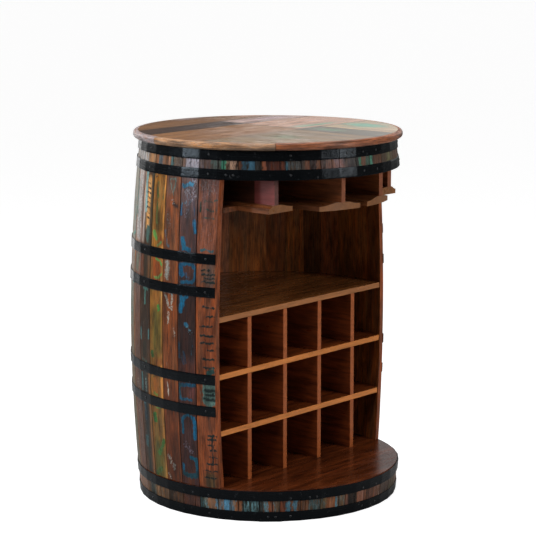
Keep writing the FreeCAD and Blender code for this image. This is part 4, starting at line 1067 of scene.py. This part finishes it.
def edging_strips():
    """Rows go round the top and columns round the strip's section: down its bull nose, which is two
    quarter circles, in along its underside, up its inner face and out along the top."""
    steps = np.radians(np.linspace(90, 0, 7))
    nose = [(TOP_R - EDGING_ROUND + EDGING_ROUND * math.cos(a),
             TOP_Z - EDGING_ROUND + EDGING_ROUND * math.sin(a)) for a in steps]
    foot = [(r, TOP_Z + TOP_UNDER_Z - z) for r, z in nose[::-1]]
    section = np.array(nose + foot + [(TOP_R - EDGING_W, TOP_UNDER_Z), (TOP_R - EDGING_W, TOP_Z)])
    lengths = np.cumsum(np.concatenate([[0], np.hypot(*np.diff(section, axis=0).T)]))
    points, paths = [], []
    looks = {"wood": [], "paint": [], "held": []}
    for number, (start, (wood, paint, *held)) in enumerate(zip(EDGING_JOINTS, EDGING_LOOKS)):
        end = (EDGING_JOINTS[1:] + [EDGING_JOINTS[0] + 1])[number] - EDGING_GAP_TURN
        angle = 2 * math.pi * np.linspace(start, end, EDGING_ROWS)[:, None]
        # Sanded by hand: the strip lies up to three tenths of a millimetre inside its circle
        radius = section[:, 0] - (0.15 + 0.15 * ripple(angle, number, (0.9, 0.37))) * MM
        z = np.broadcast_to(section[:, 1], radius.shape)
        points.append(np.stack([radius * np.sin(angle), -radius * np.cos(angle), z], axis=-1))
        paths.append(np.stack([np.broadcast_to(lengths, z.shape) + number,
                               np.broadcast_to(angle * TOP_R, z.shape)], axis=-1))
        for word, values in (("wood", linear(wood)), ("paint", linear(paint)), ("held", held)):
            looks[word].append(np.broadcast_to(values, z.shape + (2, 3)))
    looks = {word: rgba(np.array(values)) for word, values in looks.items()}
    return tube_mesh("edging", np.array(points), np.array(paths), looks)


edging = edging_strips()
edging.data.materials.append(reclaimed_teak)
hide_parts("top_edging")
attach(edging, "root")

# Studio: a pale floor under an even, soft light from five soft boxes. A tall narrow one behind the
# left side gives the hoops their bright edges. Wide ones light the left side, the front and the
# top, and a weak one lights the back.

FLOOR_HALF = 40


def floor_material():
    """Matt pale paper. It takes the object's shadow, and a little of its white shows by itself to
    the camera, so that it runs into the background."""
    made, tree = new_material("pale_paper")
    path = add(tree, "LightPath").outputs
    seen = add(tree, "Math", {0: path["Is Camera Ray"], 1: path["Is Transmission Ray"]},
               operation="MAXIMUM")
    glow = add(tree, "Math", {0: seen, 1: 0.88}, operation="MULTIPLY")
    shader = add(tree, "BsdfPrincipled", {
        "Base Color": (0.42, 0.42, 0.42, 1), "Roughness": 0.9, "Emission Color": (1, 1, 1, 1),
        "Emission Strength": glow})
    add(tree, "OutputMaterial", {0: shader})
    return made


floor_mesh = bpy.data.meshes.new("floor")
floor_mesh.from_pydata([(x * FLOOR_HALF, y * FLOOR_HALF, 0)
                        for x, y in ((-1, -1), (1, -1), (1, 1), (-1, 1))], [], [(0, 1, 2, 3)])
floor_mesh.materials.append(floor_material())
floor = in_scene("floor", floor_mesh)

# World: the camera sees white everywhere. Mirror images show a dim room with three white screens:
# a large one at the back, a large one at the right, and a narrow bright one between them. For each:
# azimuth from the front towards the right and reach, both in degrees, and how white it is.
SCREENS = [(172, 26, 0.75), (106, 22.5, 0.72), (131, 2.6, 1.9)]
# Direction to a screen's middle: its level part and its rise
SCREEN_LEVEL, SCREEN_RISE = 0.985, 0.17
# The room as mirror images show it, and as it lights the object
ROOM_MIRRORED, ROOM_LIGHT = 0.1, 0.2

world = bpy.data.worlds.new("studio")
bpy.context.scene.world = world
world.use_nodes = True
room = world.node_tree
room.nodes.clear()
path = add(room, "LightPath").outputs
sight = add(room, "TexCoord").outputs["Generated"]
mirrored = ROOM_MIRRORED
for azimuth, reach, white in SCREENS:
    turn = math.radians(azimuth)
    to_screen = (math.sin(turn) * SCREEN_LEVEL, -math.cos(turn) * SCREEN_LEVEL, SCREEN_RISE)
    facing = add(room, "VectorMath", {0: sight, 1: to_screen}, operation="DOT_PRODUCT").outputs[1]
    edge = math.cos(math.radians(reach))
    soft = 0.3 * (1 - edge)
    screen = add(room, "MapRange", {0: facing, 1: edge - soft, 2: edge + soft, 3: 0.0, 4: white})
    mirrored = add(room, "Math", {0: screen, 1: mirrored})
clear = add(room, "Math", {0: path["Is Camera Ray"], 1: path["Is Transmission Ray"]},
            operation="MAXIMUM")
glossy = add(room, "MapRange", {0: path["Is Glossy Ray"], 3: ROOM_LIGHT, 4: mirrored})
strength = add(room, "MapRange", {0: clear, 3: glossy, 4: 1.0})
background = add(room, "Background", {0: (1, 1, 1, 1), 1: strength})
add(room, "OutputWorld", {0: background})

# Soft boxes: azimuth from the front towards the right, height, distance, width, height and watts
SOFT_BOXES = {"left": (-118, 1.5, 2.4, 0.28, 1.4, 26), "front": (-75, 2.4, 2.0, 1.4, 1.2, 19),
              "right": (14, 1.35, 2.6, 0.6, 1.3, 20), "above": (150, 3.2, 0.5, 1.5, 1.5, 50),
              "back": (163, 0.65, 3.0, 0.9, 1.3, 5)}
COOL_WHITE = (0.86, 0.94, 1.0)
AIM_Z = 0.5
for word, (azimuth, z, distance, width, height, watts) in SOFT_BOXES.items():
    lamp = bpy.data.lights.new("soft_box_" + word, "AREA")
    lamp.shape, lamp.size, lamp.size_y, lamp.energy = "RECTANGLE", width, height, watts
    lamp.color = COOL_WHITE if word == "left" else (1.0, 1.0, 1.0)
    box = in_scene("soft_box_" + word, lamp)
    turn = math.radians(azimuth)
    box.location = (distance * math.sin(turn), -distance * math.cos(turn), z)
    box.rotation_euler = (math.atan2(distance, z - AIM_Z), 0, turn)

# Camera: 49 degrees to the left of the front and 10 degrees above level, with a long lens, which
# shows the cabinet at the photograph's angle.

camera_data = bpy.data.cameras.new("camera")
camera_data.lens = 136.5
camera_data.sensor_width = 36
camera = in_scene("camera", camera_data)
camera.location = (-3.811, -3.303, 1.448)
camera.rotation_euler = (math.radians(90 - 10.049), 0, math.radians(-49.088))
bpy.context.scene.camera = camera
bpy.context.scene.view_settings.view_transform = "Standard"

bpy.context.view_layer.update()
